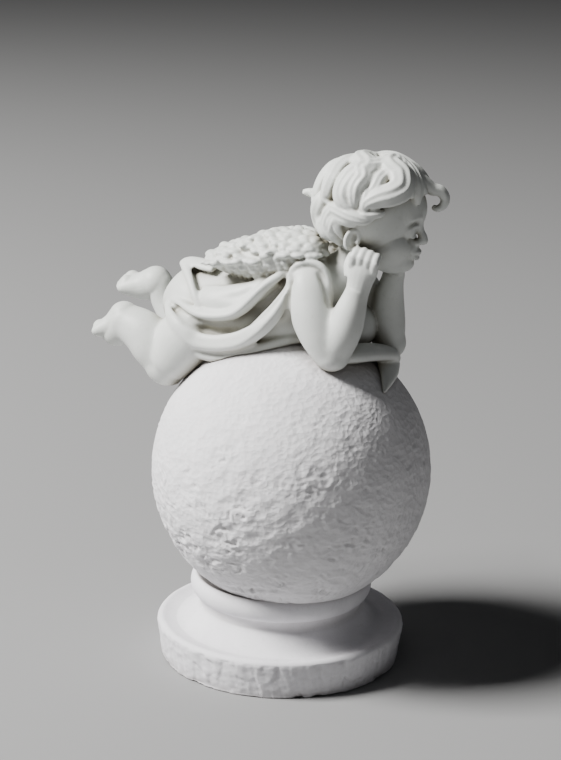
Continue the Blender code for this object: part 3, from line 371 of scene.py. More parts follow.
def add_features(clay):
    """Calm eyes and lips on plain proportions, and ears."""
    for side in (1, -1):
        clay.ball((11.0, 4.9 * side, -0.8), (2.7, 2.8, 2.6))
        clay.tube([(13.4, 2.4 * side, -0.9, 0.45), (13.9, 3.6 * side, 0.6, 0.6),
                   (13.5, 5.4 * side, 0.9, 0.62), (12.0, 7.3 * side, -0.3, 0.5)], sides=12)
        clay.tube([(13.3, 2.5 * side, -1.4, 0.35), (13.5, 3.8 * side, -2.5, 0.45),
                   (13.1, 5.4 * side, -2.6, 0.45), (12.0, 7.0 * side, -1.3, 0.35)], sides=12)
        rim = []
        for turn in np.radians(np.arange(-75, 235, 31)):
            forward = -3.3 - 1.8 * math.cos(turn) + 0.25 * math.sin(turn)
            rim.append((forward, side * (14.0 + 0.7 * math.cos(turn)), -4.6 + 3.0 * math.sin(turn), 0.72))
        clay.tube(rim, sides=14, steps=5)
        inner_rim = [(-3.4, 13.8 * side, -2.5, 0.5), (-4.0, 14.2 * side, -4.3, 0.6),
                     (-3.5, 13.9 * side, -6.3, 0.5)]
        clay.tube(inner_rim, sides=12)
        clay.ball((-3.3, 12.4 * side, -4.7), (2.0, 1.3, 2.9))
        clay.ball((-2.6, 13.6 * side, -7.6), (1.1, 0.8, 1.1))
        clay.ball((-1.7, 13.6 * side, -5.1), (0.7, 0.7, 0.8))
    clay.tube([(13.3, 2.9, -8.3, 0.3, 0.3), (14.5, 1.5, -7.75, 0.75, 0.7), (14.85, 0, -8.0, 0.8, 0.75),
               (14.5, -1.5, -7.75, 0.75, 0.7), (13.3, -2.9, -8.3, 0.3, 0.3)], up=upward, sides=12)
    clay.tube([(13.2, 2.5, -8.9, 0.3, 0.3), (14.1, 1.3, -9.5, 0.85, 0.75), (14.35, 0, -9.7, 0.95, 0.85),
               (14.1, -1.3, -9.5, 0.85, 0.75), (13.2, -2.5, -8.9, 0.3, 0.3)], up=upward, sides=12)


SKULL_CENTRE = np.array((-1.0, 0, 2.6))
SKULL_RADII = np.array((14.3, 13.6, 14.0))


def on_skull(azimuth, elevation, out):
    """A place over the skull: azimuth is 0 at the face and grows towards the head's left."""
    azimuth, elevation = math.radians(azimuth), math.radians(elevation)
    way = np.array((math.cos(elevation) * math.cos(azimuth), math.cos(elevation) * math.sin(azimuth),
                    math.sin(elevation)))
    return SKULL_CENTRE + way * (SKULL_RADII + out)


def add_lock(clay, path, width, height, strands=3, sway=1.0, tip=0.12):
    """A waving lock of hair with grooves between its strands; rows are azimuth, elevation and lift."""
    rows = []
    path = np.array(path, float)
    path[:, 0] = np.degrees(np.unwrap(np.radians(path[:, 0])))
    path = smooth_curve(path, 4)
    turn = path[0][1] + path[-1][0]
    for number, (azimuth, elevation, lift) in enumerate(path):
        t = number / (len(path) - 1)
        fullness = min(1.0, 0.5 + 2.2 * t) * (1 - (1 - tip) * t**3.4)
        wave = sway * math.sin(t * 7.5 + turn) * t
        level = max(0.35, math.cos(math.radians(elevation)))
        place = on_skull(azimuth + 4.2 * wave / level, elevation, lift + 0.25 * math.sin(t * 9 + turn))
        rows.append((*place, width * fullness, height * (0.4 + 0.6 * fullness)))

    def section(across, over):
        return 1 - 0.10 * (1 - math.cos(math.pi * strands * (across + 1))) if over > 0 else 1

    clay.tube(rows, up=lambda place: place - SKULL_CENTRE, sides=44, steps=3, section=section)


NEAR_LOCKS = (
    # half width, then azimuth, elevation and lift along the lock; from the nape and the back to the brow
    (3.2, ((-151, 16, 1.2), (-151, 2, 2.6), (-159, -13, 2.6), (-157, -26, 2.0), (-141, -35, 1.4))),
    (2.6, ((-125, 8, 1.0), (-129, -3, 2.2), (-132, -16, 2.4), (-129, -30, 1.8), (-138, -40, 1.2))),
    (2.4, ((-140, -6, 1.4), (-146, -18, 2.4), (-142, -30, 2.2), (-148, -42, 1.2))),
    (2.3, ((-118, 0, 1.0), (-124, -10, 2.0), (-127, -21, 2.1), (-121, -32, 1.6), (-126, -42, 1.0))),
    (1.8, ((-110, 3, 1.2), (-115, -6, 2.0), (-118, -19, 1.8), (-114, -34, 1.2))),
    (3.4, ((174, 62, 0.8), (-176, 44, 2.4), (-170, 27, 3.0), (-166, 12, 3.0), (-164, 2, 2.6),
           (-152, -4, 1.8))),
    (3.3, ((166, 72, 0.8), (-160, 56, 2.6), (-144, 38, 3.2), (-142, 25, 3.2), (-139, 12, 2.8),
           (-127, 7, 2.0))),
    (2.3, ((-138, 4, 1.2), (-118, 4, 2.4), (-100, 1, 3.2), (-84, 0, 3.2), (-69, 6, 2.4))),
    (1.7, ((-128, -2, 1.2), (-112, -5, 2.2), (-98, -6, 2.4), (-88, -3, 2.0))),
    (1.6, ((-100, 6, 2.0), (-88, 5, 3.0), (-76, 8, 3.0), (-66, 13, 2.2))),
    (2.6, ((-58, 62, 2.2), (-70, 48, 3.2), (-80, 38, 3.6), (-86, 28, 3.6), (-84, 19, 3.0))),
    (4.1, ((134, 82, 1.2), (-111, 60, 3.2), (-111, 40, 4.0), (-112, 24, 4.0), (-111, 13, 3.4),
           (-102, 6, 2.4))),
    (2.2, ((-73, 43, 1.8), (-85, 29, 3.0), (-90, 19, 3.4), (-90, 10, 2.8), (-83, 6, 2.2))),
    (3.2, ((79, 84, 1.4), (-88, 58, 3.6), (-96, 39, 4.2), (-103, 26, 4.0), (-102, 16, 3.4), (-94, 10, 2.4))),
    (3.2, ((49, 80, 1.2), (-7, 63, 2.8), (-26, 43, 3.4), (-26, 30, 3.2), (-20, 18, 2.2))),
    (2.7, ((73, 84, 1.2), (-25, 67, 3.0), (-36, 46, 3.6), (-36, 34, 3.2), (-40, 25, 2.2))),
    (4.2, ((79, 86, 1.4), (-44, 68, 3.6), (-48, 48, 4.8), (-54, 34, 5.2), (-65, 27, 5.2), (-77, 22, 4.6),
           (-84, 15, 4.0), (-82, 7, 3.0))),
    (2.8, ((60, 82, 0.8), (10, 66, 2.2), (-4, 50, 3.0), (-8, 37, 3.2), (-2, 26, 2.6))),
)
FAR_LOCKS = (
    (3.3, ((150, 78, 0.6), (60, 72, 2.0), (34, 58, 2.8), (26, 44, 3.2), (30, 30, 3.0), (42, 22, 2.0))),
    (3.2, ((140, 70, 0.6), (84, 66, 2.0), (60, 52, 2.8), (52, 38, 3.0), (56, 24, 2.8), (68, 15, 2.0))),
    (3.2, ((150, 60, 0.6), (112, 56, 2.0), (88, 42, 2.8), (80, 28, 2.9), (84, 14, 2.6), (72, 6, 1.8))),
    (3.3, ((170, 60, 0.8), (142, 48, 2.0), (122, 34, 2.7), (112, 20, 2.8), (116, 6, 2.4), (104, -2, 1.6))),
    (3.2, ((-176, 44, 0.8), (164, 32, 2.2), (148, 20, 2.8), (138, 6, 2.8), (144, -8, 2.4), (132, -16, 1.6))),
    (3.0, ((-172, 22, 1.0), (174, 10, 2.4), (162, -4, 2.8), (168, -18, 2.6), (158, -30, 1.8))),
    (2.6, ((128, -2, 0.8), (124, -14, 2.0), (130, -26, 2.0), (122, -38, 1.2))),
    (2.4, ((150, -14, 0.8), (146, -26, 2.0), (152, -38, 1.4))),
    (2.2, ((108, 0, 0.8), (104, -12, 1.8), (109, -22, 1.6), (104, -32, 1.0))),
    (2.2, ((-172, -14, 0.8), (-178, -28, 2.0), (-172, -40, 1.4))),
)


def add_hair(clay):
    """Locks over a full head of hair, a tip that stands out behind and a curl over the forehead."""
    clay.ball((-1.4, 0, 3.4), (15.3, 14.9, 15.3), sides=48)
    for half_width, path in NEAR_LOCKS + FAR_LOCKS:
        add_lock(clay, path, half_width, min(2.7, 0.62 * half_width + 0.6), 2 if half_width < 2 else 3)
    tip = ((-170, 26, 0.6), (-172, 16, 2.0), (-178, 9, 3.0), (178, 5, 4.8), (177, 4, 8.2))
    add_lock(clay, tip, 3.0, 1.9, 2, 0.3)
    curl = [(4.0, -0.6, 16.0, 2.6, 1.9), (8.6, -0.4, 15.2, 2.8, 2.3), (12.6, 0.6, 13.4, 2.6, 2.3),
            (15.6, 1.6, 11.6, 2.3, 2.1), (18.0, 2.4, 11.2, 2.1, 1.9), (19.8, 2.8, 9.4, 1.8, 1.6),
            (19.6, 2.8, 7.0, 1.5, 1.4), (17.8, 2.8, 5.6, 1.2, 1.1), (16.4, 2.8, 6.2, 0.8, 0.8)]
    clay.tube(curl, sides=28, section=lambda across, over: 1 - 0.07 * (1 - math.cos(math.tau * (across + 1))))


def add_folds(clay):
    """The tunic's big folds, its hem on the ball, the band round the armhole and the corner at the hip."""
    lower_fold = [(6.0, -10.6, 20.4, 1.3, 0.9), (5.0, -12.0, 17.4, 1.6, 1.3), (3.4, -12.8, 14.0, 2.0, 1.7),
                  (1.6, -14.0, 10.2, 2.4, 2.0), (-0.6, -15.0, 7.0, 2.8, 2.2), (-3.4, -15.6, 4.0, 3.0, 2.3),
                  (-7.6, -15.8, 0.9, 3.1, 2.3), (-11.8, -15.8, -0.9, 3.1, 2.2),
                  (-16.8, -15.8, -2.0, 3.0, 2.1), (-22.3, -16.2, -1.9, 2.8, 1.7),
                  (-26.0, -16.9, 0.0, 2.3, 1.4), (-29.4, -16.2, 2.2, 2.0, 1.2),
                  (-33.0, -13.4, 4.2, 1.6, 1.0), (-36.6, -8.8, 5.6, 1.0, 0.7)]
    upper_fold = [(1.9, -9.6, 19.8, 1.0, 0.9), (0.2, -11.2, 18.2, 1.3, 1.2), (-2.7, -12.8, 15.6, 1.6, 1.5),
                  (-5.4, -14.0, 12.5, 1.8, 1.7), (-8.5, -14.6, 9.3, 1.9, 1.8), (-11.8, -14.8, 7.1, 1.9, 1.8),
                  (-15.8, -14.8, 6.0, 1.9, 1.8), (-20.4, -14.5, 5.5, 1.8, 1.7), (-25.2, -13.6, 5.7, 1.6, 1.5),
                  (-29.8, -12.0, 6.5, 1.4, 1.3), (-34.0, -9.6, 7.3, 1.1, 1.0)]
    hem = [(9.0, -6.0, 0.4, 0.8, 1.2), (4.4, -8.8, 0.4, 1.0, 1.2), (0.7, -11.0, -0.6, 1.3, 1.6),
           (-2.8, -13.0, -2.0, 1.5, 1.9), (-7.2, -14.6, -3.8, 1.6, 2.2), (-13.4, -15.0, -5.3, 1.7, 2.4),
           (-19.8, -15.0, -5.6, 1.6, 2.3), (-25.9, -14.3, -4.9, 1.4, 2.0), (-31, -12.6, -3.3, 1.2, 1.5)]
    armhole = [(3.9, -10.8, 17.0, 1.0, 0.8), (4.2, -11.2, 19.6, 1.2, 0.9), (5.6, -10.8, 21.8, 1.4, 1.0),
               (8.8, -9.8, 23.0, 1.5, 1.0), (12.6, -9.0, 21.8, 1.5, 1.0), (14.6, -8.6, 17.5, 1.3, 0.9),
               (14.8, -7.8, 12.5, 1.2, 0.8)]
    clay.tube(lower_fold, up=outward)
    clay.tube(upper_fold, up=outward)
    clay.tube(hem)
    clay.tube(armhole)
    # the pouch of cloth that hangs over the upper fold
    clay.tube([(-1.0, -9.4, 17.0, 2.0, 1.6), (-7.0, -11.4, 13.0, 3.4, 2.4), (-14.0, -12.2, 10.4, 4.2, 2.6),
               (-20.0, -11.8, 9.8, 3.8, 2.4), (-24.5, -10.4, 10.0, 2.6, 1.8)], up=lambda _: (0, -0.8, 0.6))
    # the corner of cloth that stands out at the hip, and the band that runs down from it
    clay.tube([(-22.0, -6.6, 17.0, 2.0, 0.9), (-27.0, -5.3, 17.2, 2.4, 1.1), (-31.8, -4.1, 17.2, 2.2, 1.1),
               (-34.4, -3.3, 17.0, 1.2, 0.8)], up=lambda _: (-0.1, -0.4, 0.9))
    clay.tube([(-34.4, -3.6, 16.8, 1.3, 1.0), (-31.5, -6.5, 15.6, 1.5, 1.2), (-28.5, -9.6, 13.6, 1.4, 1.2),
               (-25.7, -12.2, 10.7, 1.2, 1.1), (-23.4, -13.8, 7.8, 1.0, 0.9), (-21.6, -14.6, 5.2, 0.6, 0.5)],
              up=lambda _: (-0.15, -0.65, 0.7))
    # plainer folds on the far side, and its hem
    for lift, width in ((0.0, 1.2), (6.0, 2.0)):
        far = [(2.5, 14.2, 17.5, 1.2, 1.0), (-2, 16.2, 9 + lift * 0.6, 2.0, 1.8),
               (-9, 17.0, 1.5 + lift, 2.4, 2.2), (-18, 16.8, -0.8 + lift, 2.4, 2.2),
               (-27, 15.2, -0.6 + lift, 2.0, 1.8), (-34.5, 11, 1.0 + lift, width, 1.2)]
        clay.tube(far, up=lambda _: (0, 1, 0.15))
    clay.tube([(3, 12, -1.5, 1.2, 1.6), (-5, 16.6, -4.6, 1.5, 2.2), (-14, 17.4, -6.6, 1.6, 2.4),
               (-23, 17.0, -6.8, 1.5, 2.2), (-31, 14.5, -4.6, 1.2, 1.6)])


def carve_folds(piece):
    """Valleys, crests and creases that sharpen the cloth."""
    lower_crest = [(5.1, -13.5, 17.5), (3.7, -14.4, 13.9), (2.0, -16.1, 9.5), (-0.1, -17.3, 6.4),
                   (-2.8, -18.0, 3.3), (-7.2, -18.1, -0.1), (-11.3, -18.1, -1.8), (-16.6, -17.7, -2.8),
                   (-22.3, -17.8, -2.7), (-26.6, -18.2, -0.6)]
    valley = np.array([(3.6, -12.8, 17.4), (2.6, -13.4, 14.4), (1.0, -14.6, 11.0), (-1.8, -15.6, 7.6),
                       (-5.0, -15.8, 4.7), (-8.6, -15.4, 2.8), (-13.2, -14.9, 1.6), (-18.0, -14.7, 1.2),
                       (-22.2, -14.6, 1.8), (-26.1, -14.2, 3.0), (-30.6, -12.6, 4.3), (-35.0, -9.9, 4.6)])
    carve(piece, valley, 2.2, 1.1, 0.1)
    carve(piece, valley + (0.4, 0, 1.4), 0.8, 0.8, 0.15)
    carve(piece, lower_crest, -0.5, 0.9, 0.2)
    upper_crest = [(0.2, -12.7, 18.4), (-2.7, -14.4, 15.8), (-5.4, -15.6, 12.6), (-8.4, -16.3, 9.3),
                   (-11.7, -16.5, 7.0), (-15.8, -16.5, 5.9), (-20.4, -16.2, 5.4), (-25.2, -15.2, 5.6),
                   (-29.8, -13.4, 6.4)]
    hollow = [(-3.6, -12.6, 17.2), (-7.6, -14.0, 13.6), (-12.0, -14.4, 11.4), (-17.0, -14.2, 10.6)]
    carve(piece, upper_crest, -0.6, 0.8, 0.2)
    carve(piece, hollow, 0.5, 1.3, 0.3)
    beside_arm = [(5.4, -12.6, 19.6), (5.0, -13.6, 16.4), (5.4, -14.6, 13.2), (6.0, -14.6, 9.6),
                  (6.2, -13.2, 6.0), (6.4, -11.6, 2.4), (7.0, -9.6, -0.6)]
    inside_elbow = [(11.7, -10.4, 21.3), (14.0, -11.0, 18.1), (15.2, -11.6, 15.0), (16.7, -12.7, 11.6)]
    carve(piece, beside_arm, 1.7, 0.9, 0.1)
    carve(piece, inside_elbow, 1.1, 0.8, 0.2)
    above_hem = [(2.6, -12.6, 7.4), (0.2, -14.4, 3.2), (-3.2, -16.0, -0.6), (-8.0, -16.8, -3.4),
                 (-13.6, -17.0, -4.8), (-20.0, -16.6, -5.0), (-26.0, -15.8, -4.0)]
    carve(piece, above_hem, 0.8, 0.8, 0.15)
    # both sides of the band down the hip, and where the calf lies against the thigh
    band = np.array([(-32.4, -5.2, 15.4), (-29.6, -8.4, 13.8), (-27.0, -11.2, 11.2), (-24.6, -13.2, 8.2)])
    carve(piece, band + (1.7, 0.7, 1.1), 1.0, 0.7, 0.25)
    carve(piece, band - (1.7, 0.7, 1.1), 0.5, 0.7, 0.25)
    behind_knee = [(-33.6, -15.0, -1.4), (-34.2, -16.4, -5.4), (-35.1, -16.8, -9.4), (-35.8, -16.2, -12.8)]
    carve(piece, behind_knee, 1.0, 0.8, 0.2)


def add_tuft(clay, root, way, up, size, lift):
    """A curled tuft of down: it rises from its root, lies back and turns over at its tip."""
    side = np.cross(way, up)
    hand = 1 if lift > 0.2 else -1
    rows = []
    for along, high, across, full in ((0, 0.0, 0, 0.5), (0.8, 0.45, 0.12, 0.78),
                                      (1.7, 0.50 + lift, 0.3, 0.85), (2.5, 0.30 + lift, 0.3, 0.62),
                                      (2.9, -0.25 + lift, 0.05, 0.28)):
        place = root + way * along * size + up * high * size + side * across * size * hand
        rows.append((*place, size * full, size * (0.2 + 0.42 * full)))
    clay.tube(rows, up=lambda _: up, sides=12, steps=4)


# A wing's upper inner edge, upper outer edge and lower edge, from its root to its tip, on the near side
WING_INNER = smooth_curve([(10.5, -3.6, 25.0), (8.0, -2.4, 28.4), (2.0, -1.6, 29.4), (-4.0, -1.8, 29.4),
                           (-9.5, -2.8, 26.9), (-15.0, -4.6, 25.4), (-19.2, -7.2, 22.8),
                           (-22.0, -9.6, 21.8)], 8)
WING_OUTER = smooth_curve([(9.5, -8.6, 24.6), (6.5, -10.4, 25.2), (0.6, -12.0, 24.2), (-5.4, -12.8, 22.6),
                           (-11.0, -13.0, 21.2), (-15.8, -12.8, 20.4), (-19.8, -12.2, 20.0),
                           (-22.4, -11.0, 20.8)], 8)
WING_UNDER = smooth_curve([(8.5, -6.0, 18.0), (5.0, -7.8, 18.4), (0.0, -8.6, 17.2), (-5.0, -8.4, 15.8),
                           (-10.0, -7.6, 15.4), (-15.0, -6.6, 15.8), (-19.0, -7.8, 17.4),
                           (-21.8, -9.8, 19.4)], 8)
WING_UP = np.array((0.05, -0.34, 0.94))
WING_OUT = np.array((0.0, -0.85, -0.2))
CROWN = 2.3
BELLY = 1.0
TUFTED = 0.22


def place_on(curve, along):
    """The place at a share of a smooth curve's length."""
    number = min(len(curve) - 1.001, max(0.0, along * (len(curve) - 1)))
    step, part = int(number), number % 1
    return curve[step] * (1 - part) + curve[step + 1] * part


def over_wing(along, across):
    """A place on the near wing's crowned top, from its inner to its outer edge."""
    crown = CROWN * math.sin(math.pi * min(1, max(0, across))) * math.sin(math.pi * min(1, max(0, along)))
    return (place_on(WING_INNER, along) * (1 - across) + place_on(WING_OUTER, along) * across
            + WING_UP * crown)


def below_wing(along, across):
    """A place on the near wing's rounded outer side, from its upper to its lower edge."""
    belly = BELLY * math.sin(math.pi * across) * math.sin(math.pi * min(1, max(0, along)))
    return (place_on(WING_OUTER, along) * (1 - across) + place_on(WING_UNDER, along) * across
            + WING_OUT * belly)


def add_wing(clay, side, seed):
    """A short wing laid back along the body, side -1 near and 1 far: a thick pad under lumps of down."""
    rng = np.random.default_rng(seed)
    mirror = np.array((1, -side, 1))
    shift = np.array((0, SPINE, -1.2)) if side > 0 else np.zeros(3)

    def set_down(point):
        return tuple(np.array(point) * mirror + shift)

    rings = []
    for along in np.linspace(0, 1, 16):
        top = [over_wing(along, across) for across in np.linspace(0, 1, 8)]
        belly = [below_wing(along, across) for across in np.linspace(0.15, 1, 6)]
        heart = [place_on(WING_INNER, along) * 0.6 + place_on(WING_UNDER, along) * 0.4 - (0, 0, 2.0)]
        ring = np.array([set_down(point) for point in top + belly + heart])
        rings.append(ring.mean(0) + (ring - ring.mean(0)) * min(1.0, 0.35 + 4 * along))
    clay.loft(rings)
    # broad lumps over the top in staggered rows, some with a tuft, then small lumps down the outer side
    up = WING_UP * mirror
    in_row = 13
    for row, across in enumerate(np.linspace(1.0, 0.0, 8)):
        for number in range(in_row):
            along = 0.95 * (number + 0.5 * (row % 2) + rng.uniform(-0.4, 0.4)) / in_row
            place = over_wing(along, across + rng.uniform(-0.08, 0.04)) + WING_UP * rng.uniform(-0.45, 0.0)
            wide = rng.uniform(1.3, 2.0)
            radii = (wide * rng.uniform(0.9, 1.2), wide, rng.uniform(0.8, 1.2))
            clay.ball(set_down(place), radii, sides=16)
            if rng.uniform() < TUFTED:
                way = unit(np.array((-0.85, side * (0.15 + 0.45 * across) + rng.uniform(-0.7, 0.7), -0.10)))
                root = np.array(set_down(place)) - up * 0.2
                add_tuft(clay, root, way, up, rng.uniform(0.8, 1.2), rng.uniform(-0.1, 0.25))
    in_row = 19
    for row, across in enumerate((0.10, 0.30, 0.50, 0.70, 0.90)):
        for number in range(in_row):
            along = 0.03 + 0.92 * (number + 0.5 * (row % 2) + rng.uniform(-0.3, 0.3)) / in_row
            place = below_wing(along, across) - WING_OUT * rng.uniform(0.3, 0.6)
            clay.ball(set_down(place), rng.uniform(0.8, 1.15), sides=12)
    # the wing's root in the shoulder
    clay.ball((6.6, SPINE + 5.2 * side, 21.5), (4.0, 3.6, 3.8))


def add_front_cloth(clay):
    """Cloth under the chest and elbows, with a tail on the ball."""
    clay.tube([(12, -9, -3.2, 3.0, 1.6), (18, -4, -3.6, 3.6, 2.0), (21.5, 2, -3.4, 3.8, 2.2),
               (23.5, 8, -4.6, 3.8, 2.4), (22.5, 15, -7.6, 3.6, 2.6)], up=upward)
    clay.tube([(18.0, -9.8, -2.0, 3.0, 2.0), (21.4, -5.2, -1.8, 3.4, 2.2), (23.4, 0.6, -2.4, 3.4, 2.2),
               (24.4, 6.0, -3.6, 3.2, 2.1), (24.2, 11.5, -5.2, 2.8, 2.0), (22.2, 16.6, -6.0, 2.4, 1.8)],
              up=lambda _: (0.35, 0, 0.94))
    # the tail that runs down over the ball to a point
    clay.tube([(22.0, 15.4, -7.2, 4.4, 1.9), (23.6, 11.8, -7.6, 4.3, 1.8), (25.4, 8.0, -8.7, 3.7, 1.6),
               (27.4, 3.4, -9.9, 2.4, 1.2), (28.8, -0.6, -11.2, 1.2, 0.9), (29.5, -3.0, -12.2, 0.4, 0.5)],
              up=lambda place: place + (0, 0, 40))
    # the small corner that hangs over the ball beside the far elbow
    clay.tube([(22.0, 15.0, -6.4, 2.6, 1.8), (24.2, 14.8, -9.0, 2.4, 1.2), (25.6, 13.4, -11.4, 1.2, 0.8)],
              up=lambda place: place + (0, 0, 40))
    # the shaded chest between the arms
    clay.ball((14.5, 7.0, 1.8), (6.2, 10.5, 7.0))


def ball_cutter(radius):
    """A fine ball that cuts the figure's seat."""
    mesh = bpy.data.meshes.new("ball_cutter")
    ball = bmesh.new()
    bmesh.ops.create_uvsphere(ball, u_segments=160, v_segments=100, radius=radius)
    ball.to_mesh(mesh)
    ball.free()
    return mesh


def make_clothed_body():
    """Trunk and limbs, softened, with the tunic's folds laid on and carved."""
    body = Clay()
    add_trunk(body)
    add_arms(body)
    add_legs(body)
    tunic = Clay()
    tunic.add(body.model(SKIN_GRAIN, 10))
    add_folds(tunic)
    clothed = tunic.model(CLOTH_GRAIN, 5)
    carve_folds(clothed)
    return clothed


def make_face(head_frame):
    head = Clay(head_frame)
    add_head(head)
    face = head.model(CLOTH_GRAIN, 7)
    carve_face(face, head_frame)
    return face


def make_details(head_frame):
    """Features, hair, feet, hands, wings and the cloth below the elbows, in the finest clay."""
    details = Clay(head_frame)
    add_features(details)
    add_hair(details)
    details.frame = Matrix.Identity(4)
    add_foot(details, (-49.2, -11.5, 0.4), (-57.0, -12.4, -5.9), (-0.70, 0.05, 0.62), 1.04)
    add_foot(details, (-51.6, 10.0, 6.0), (-62.8, 9.2, 3.3), (-0.16, -0.12, 1.0), 1.14)
    add_hand(details, (23.9, -9.8, 18.2), (0.22, -0.02, 1.0), (0.22, -1.0, 0.12), 0.98)
    add_hand(details, (24.2, 13.0, 18.0), (0.16, -0.30, 0.95), (0.45, 0.85, 0.0), 0.92)
    add_wing(details, -1, 3)
    add_wing(details, 1, 5)
    add_front_cloth(details)
    return details.model(DETAIL_GRAIN, 1)


def make_figure():
    """The whole cherub as one cast, cut to its seat on the ball and thinned."""
    head_turn = Euler([math.radians(a) for a in HEAD_TURN]).to_matrix().to_4x4()
    head_frame = Matrix.Translation(HEAD_CENTRE) @ head_turn @ Matrix.Scale(HEAD_SIZE, 4)
    whole = Clay()
    whole.add(make_clothed_body())
    whole.add(make_face(head_frame))
    whole.add(make_details(head_frame))
    figure = whole.model(CAST_GRAIN, 1, "angel_cast")
    cutter = object_of("figure_cutter", ball_cutter(BALL_RADIUS / UNIT + SEAM / UNIT))
    cutter.location = (0, 0, -BALL_RADIUS / UNIT)
    cut = figure.modifiers.new("Seat", "BOOLEAN")
    cut.operation = "DIFFERENCE"
    cut.solver = "MANIFOLD"
    cut.object = cutter
    settled(figure)
    bpy.data.objects.remove(cutter)
    thin = figure.modifiers.new("Thin", "DECIMATE")
    figure.data.calc_loop_triangles()
    thin.ratio = min(1.0, MOST_TRIANGLES / len(figure.data.loop_triangles))
    settled(figure)
    figure.data.transform(Matrix.Scale(UNIT, 4))
    figure.data.transform(Matrix.Translation(BALL_TOP))
    figure.data.shade_smooth()
    return figure


def turned(name, rows, steps, push):
    """A turned form with its poles closed; push gives the outward shift of every point, in metres."""
    turns = np.arange(steps) * math.tau / steps
    rows = np.array(rows)
    inner = rows[1:-1]
    around = np.stack([np.cos(turns), np.sin(turns), np.zeros(steps)], -1)
    places = inner[:, None, 0, None] * around[None] + inner[:, None, 1, None] * np.array((0, 0, 1.0))
    slopes = np.gradient(rows, axis=0)[1:-1]
    slopes /= np.linalg.norm(slopes, axis=1)[:, None] + 1e-12
    ways = -slopes[:, None, 1, None] * around[None] + slopes[:, None, 0, None] * np.array((0, 0, 1.0))
    places = (places + ways * push(places)[..., None]).reshape(-1, 3)
    places = np.vstack([places, (0, 0, rows[0][1]), (0, 0, rows[-1][1])])
    count = len(inner)
    ring = np.arange(steps)
    after = np.roll(ring, -1)
    faces = []
    for row in range(count - 1):
        this, following = row * steps, (row + 1) * steps
        faces.append(np.stack([this + ring, following + ring, following + after, this + after], -1))
    faces = np.vstack(faces).tolist()
    faces += [(count * steps, a, b) for a, b in zip(ring.tolist(), after.tolist())]
    last = (count - 1) * steps
    faces += [(count * steps + 1, last + b, last + a) for a, b in zip(ring.tolist(), after.tolist())]
    mesh = bpy.data.meshes.new(name)
    mesh.from_pydata(places.tolist(), [], faces)
    mesh.validate()
    mesh.shade_smooth()
    return object_of(name, mesh)


def waves(places, size, seed, count, spread, squash=1):
    """A sum of slanted waves about this long, whose rates vary over the spread; squash lowers them."""
    rng = np.random.default_rng(seed)
    total = np.zeros(places.shape[:-1])
    for _ in range(count):
        way = rng.normal(size=3)
        way *= rng.uniform(*spread) / (np.linalg.norm(way) * size)
        way[2] /= squash
        total += np.sin(places @ way * math.tau + rng.uniform(0, math.tau))
    return total


def wander(places, size, seed):
    """Smooth noise from -1 to 1 at every place."""
    return np.clip(waves(places, size, seed, 14, (0.6, 1.5)) / 5.2, -1, 1)


def blobs(places, size, seed, squash):
    """A field of low rounded lumps of about this size, flatter than they are wide."""
    count = 48
    return waves(places, size, seed, count, (0.55, 1.25), squash) / math.sqrt(count / 2)


def chipped(places, spread, seed, wide, tall):
    """Facets struck by a small chisel, in millimetres of depth: each has its own tilt and level."""
    rng = np.random.default_rng(seed)
    flat = places.reshape(-1, 3)
    warp = np.stack([wander(flat, 6.5, seed + 1 + i) for i in range(3)], -1)
    spots = flat / (wide, wide, tall) + warp * (0.35, 0.35, 0.75)
    area = spread / (wide * tall)
    seeds = rng.permutation(len(spots))[:int(area)]
    centres = spots[seeds] + rng.normal(scale=0.1, size=(len(seeds), 3))
    tree = kdtree.KDTree(len(centres))
    for number, centre in enumerate(centres):
        tree.insert(centre, number)
    tree.balance()
    levels, tilts = rng.uniform(-1, 1, len(centres)), rng.normal(scale=0.9, size=(len(centres), 3))
    tilts[:, 2] -= 1.1
    depth = np.empty(len(spots))
    for number, spot in enumerate(spots):
        (first, own, near), (second, other, far) = tree.find_n(spot, 2)
        mine = levels[own] * 0.5 + (spot - np.array(first)) @ tilts[own]
        theirs = levels[other] * 0.5 + (spot - np.array(second)) @ tilts[other]
        share = 0.5 + 0.5 * min(1.0, (far - near) / 0.16)
        depth[number] = mine * share + theirs * (1 - share)
    return depth.reshape(places.shape[:-1])


# The ball's beaten skin: how wide and how deep its marks are, in millimetres
COARSE_WIDTH, COARSE_DEPTH = 4.6, 0.11
LEDGE_WIDTH, LEDGE_DEPTH = 4.4, 0.13
PIT_WIDTH, PIT_DEPTH = 3.0, 0.26
FINE_WIDTH, FINE_DEPTH = 2.1, 0.03
PATCH_WIDTH = 11
SKIN_LEVEL = -0.22
BOLD_SIDE = np.array((-0.15, -0.80, -0.58))


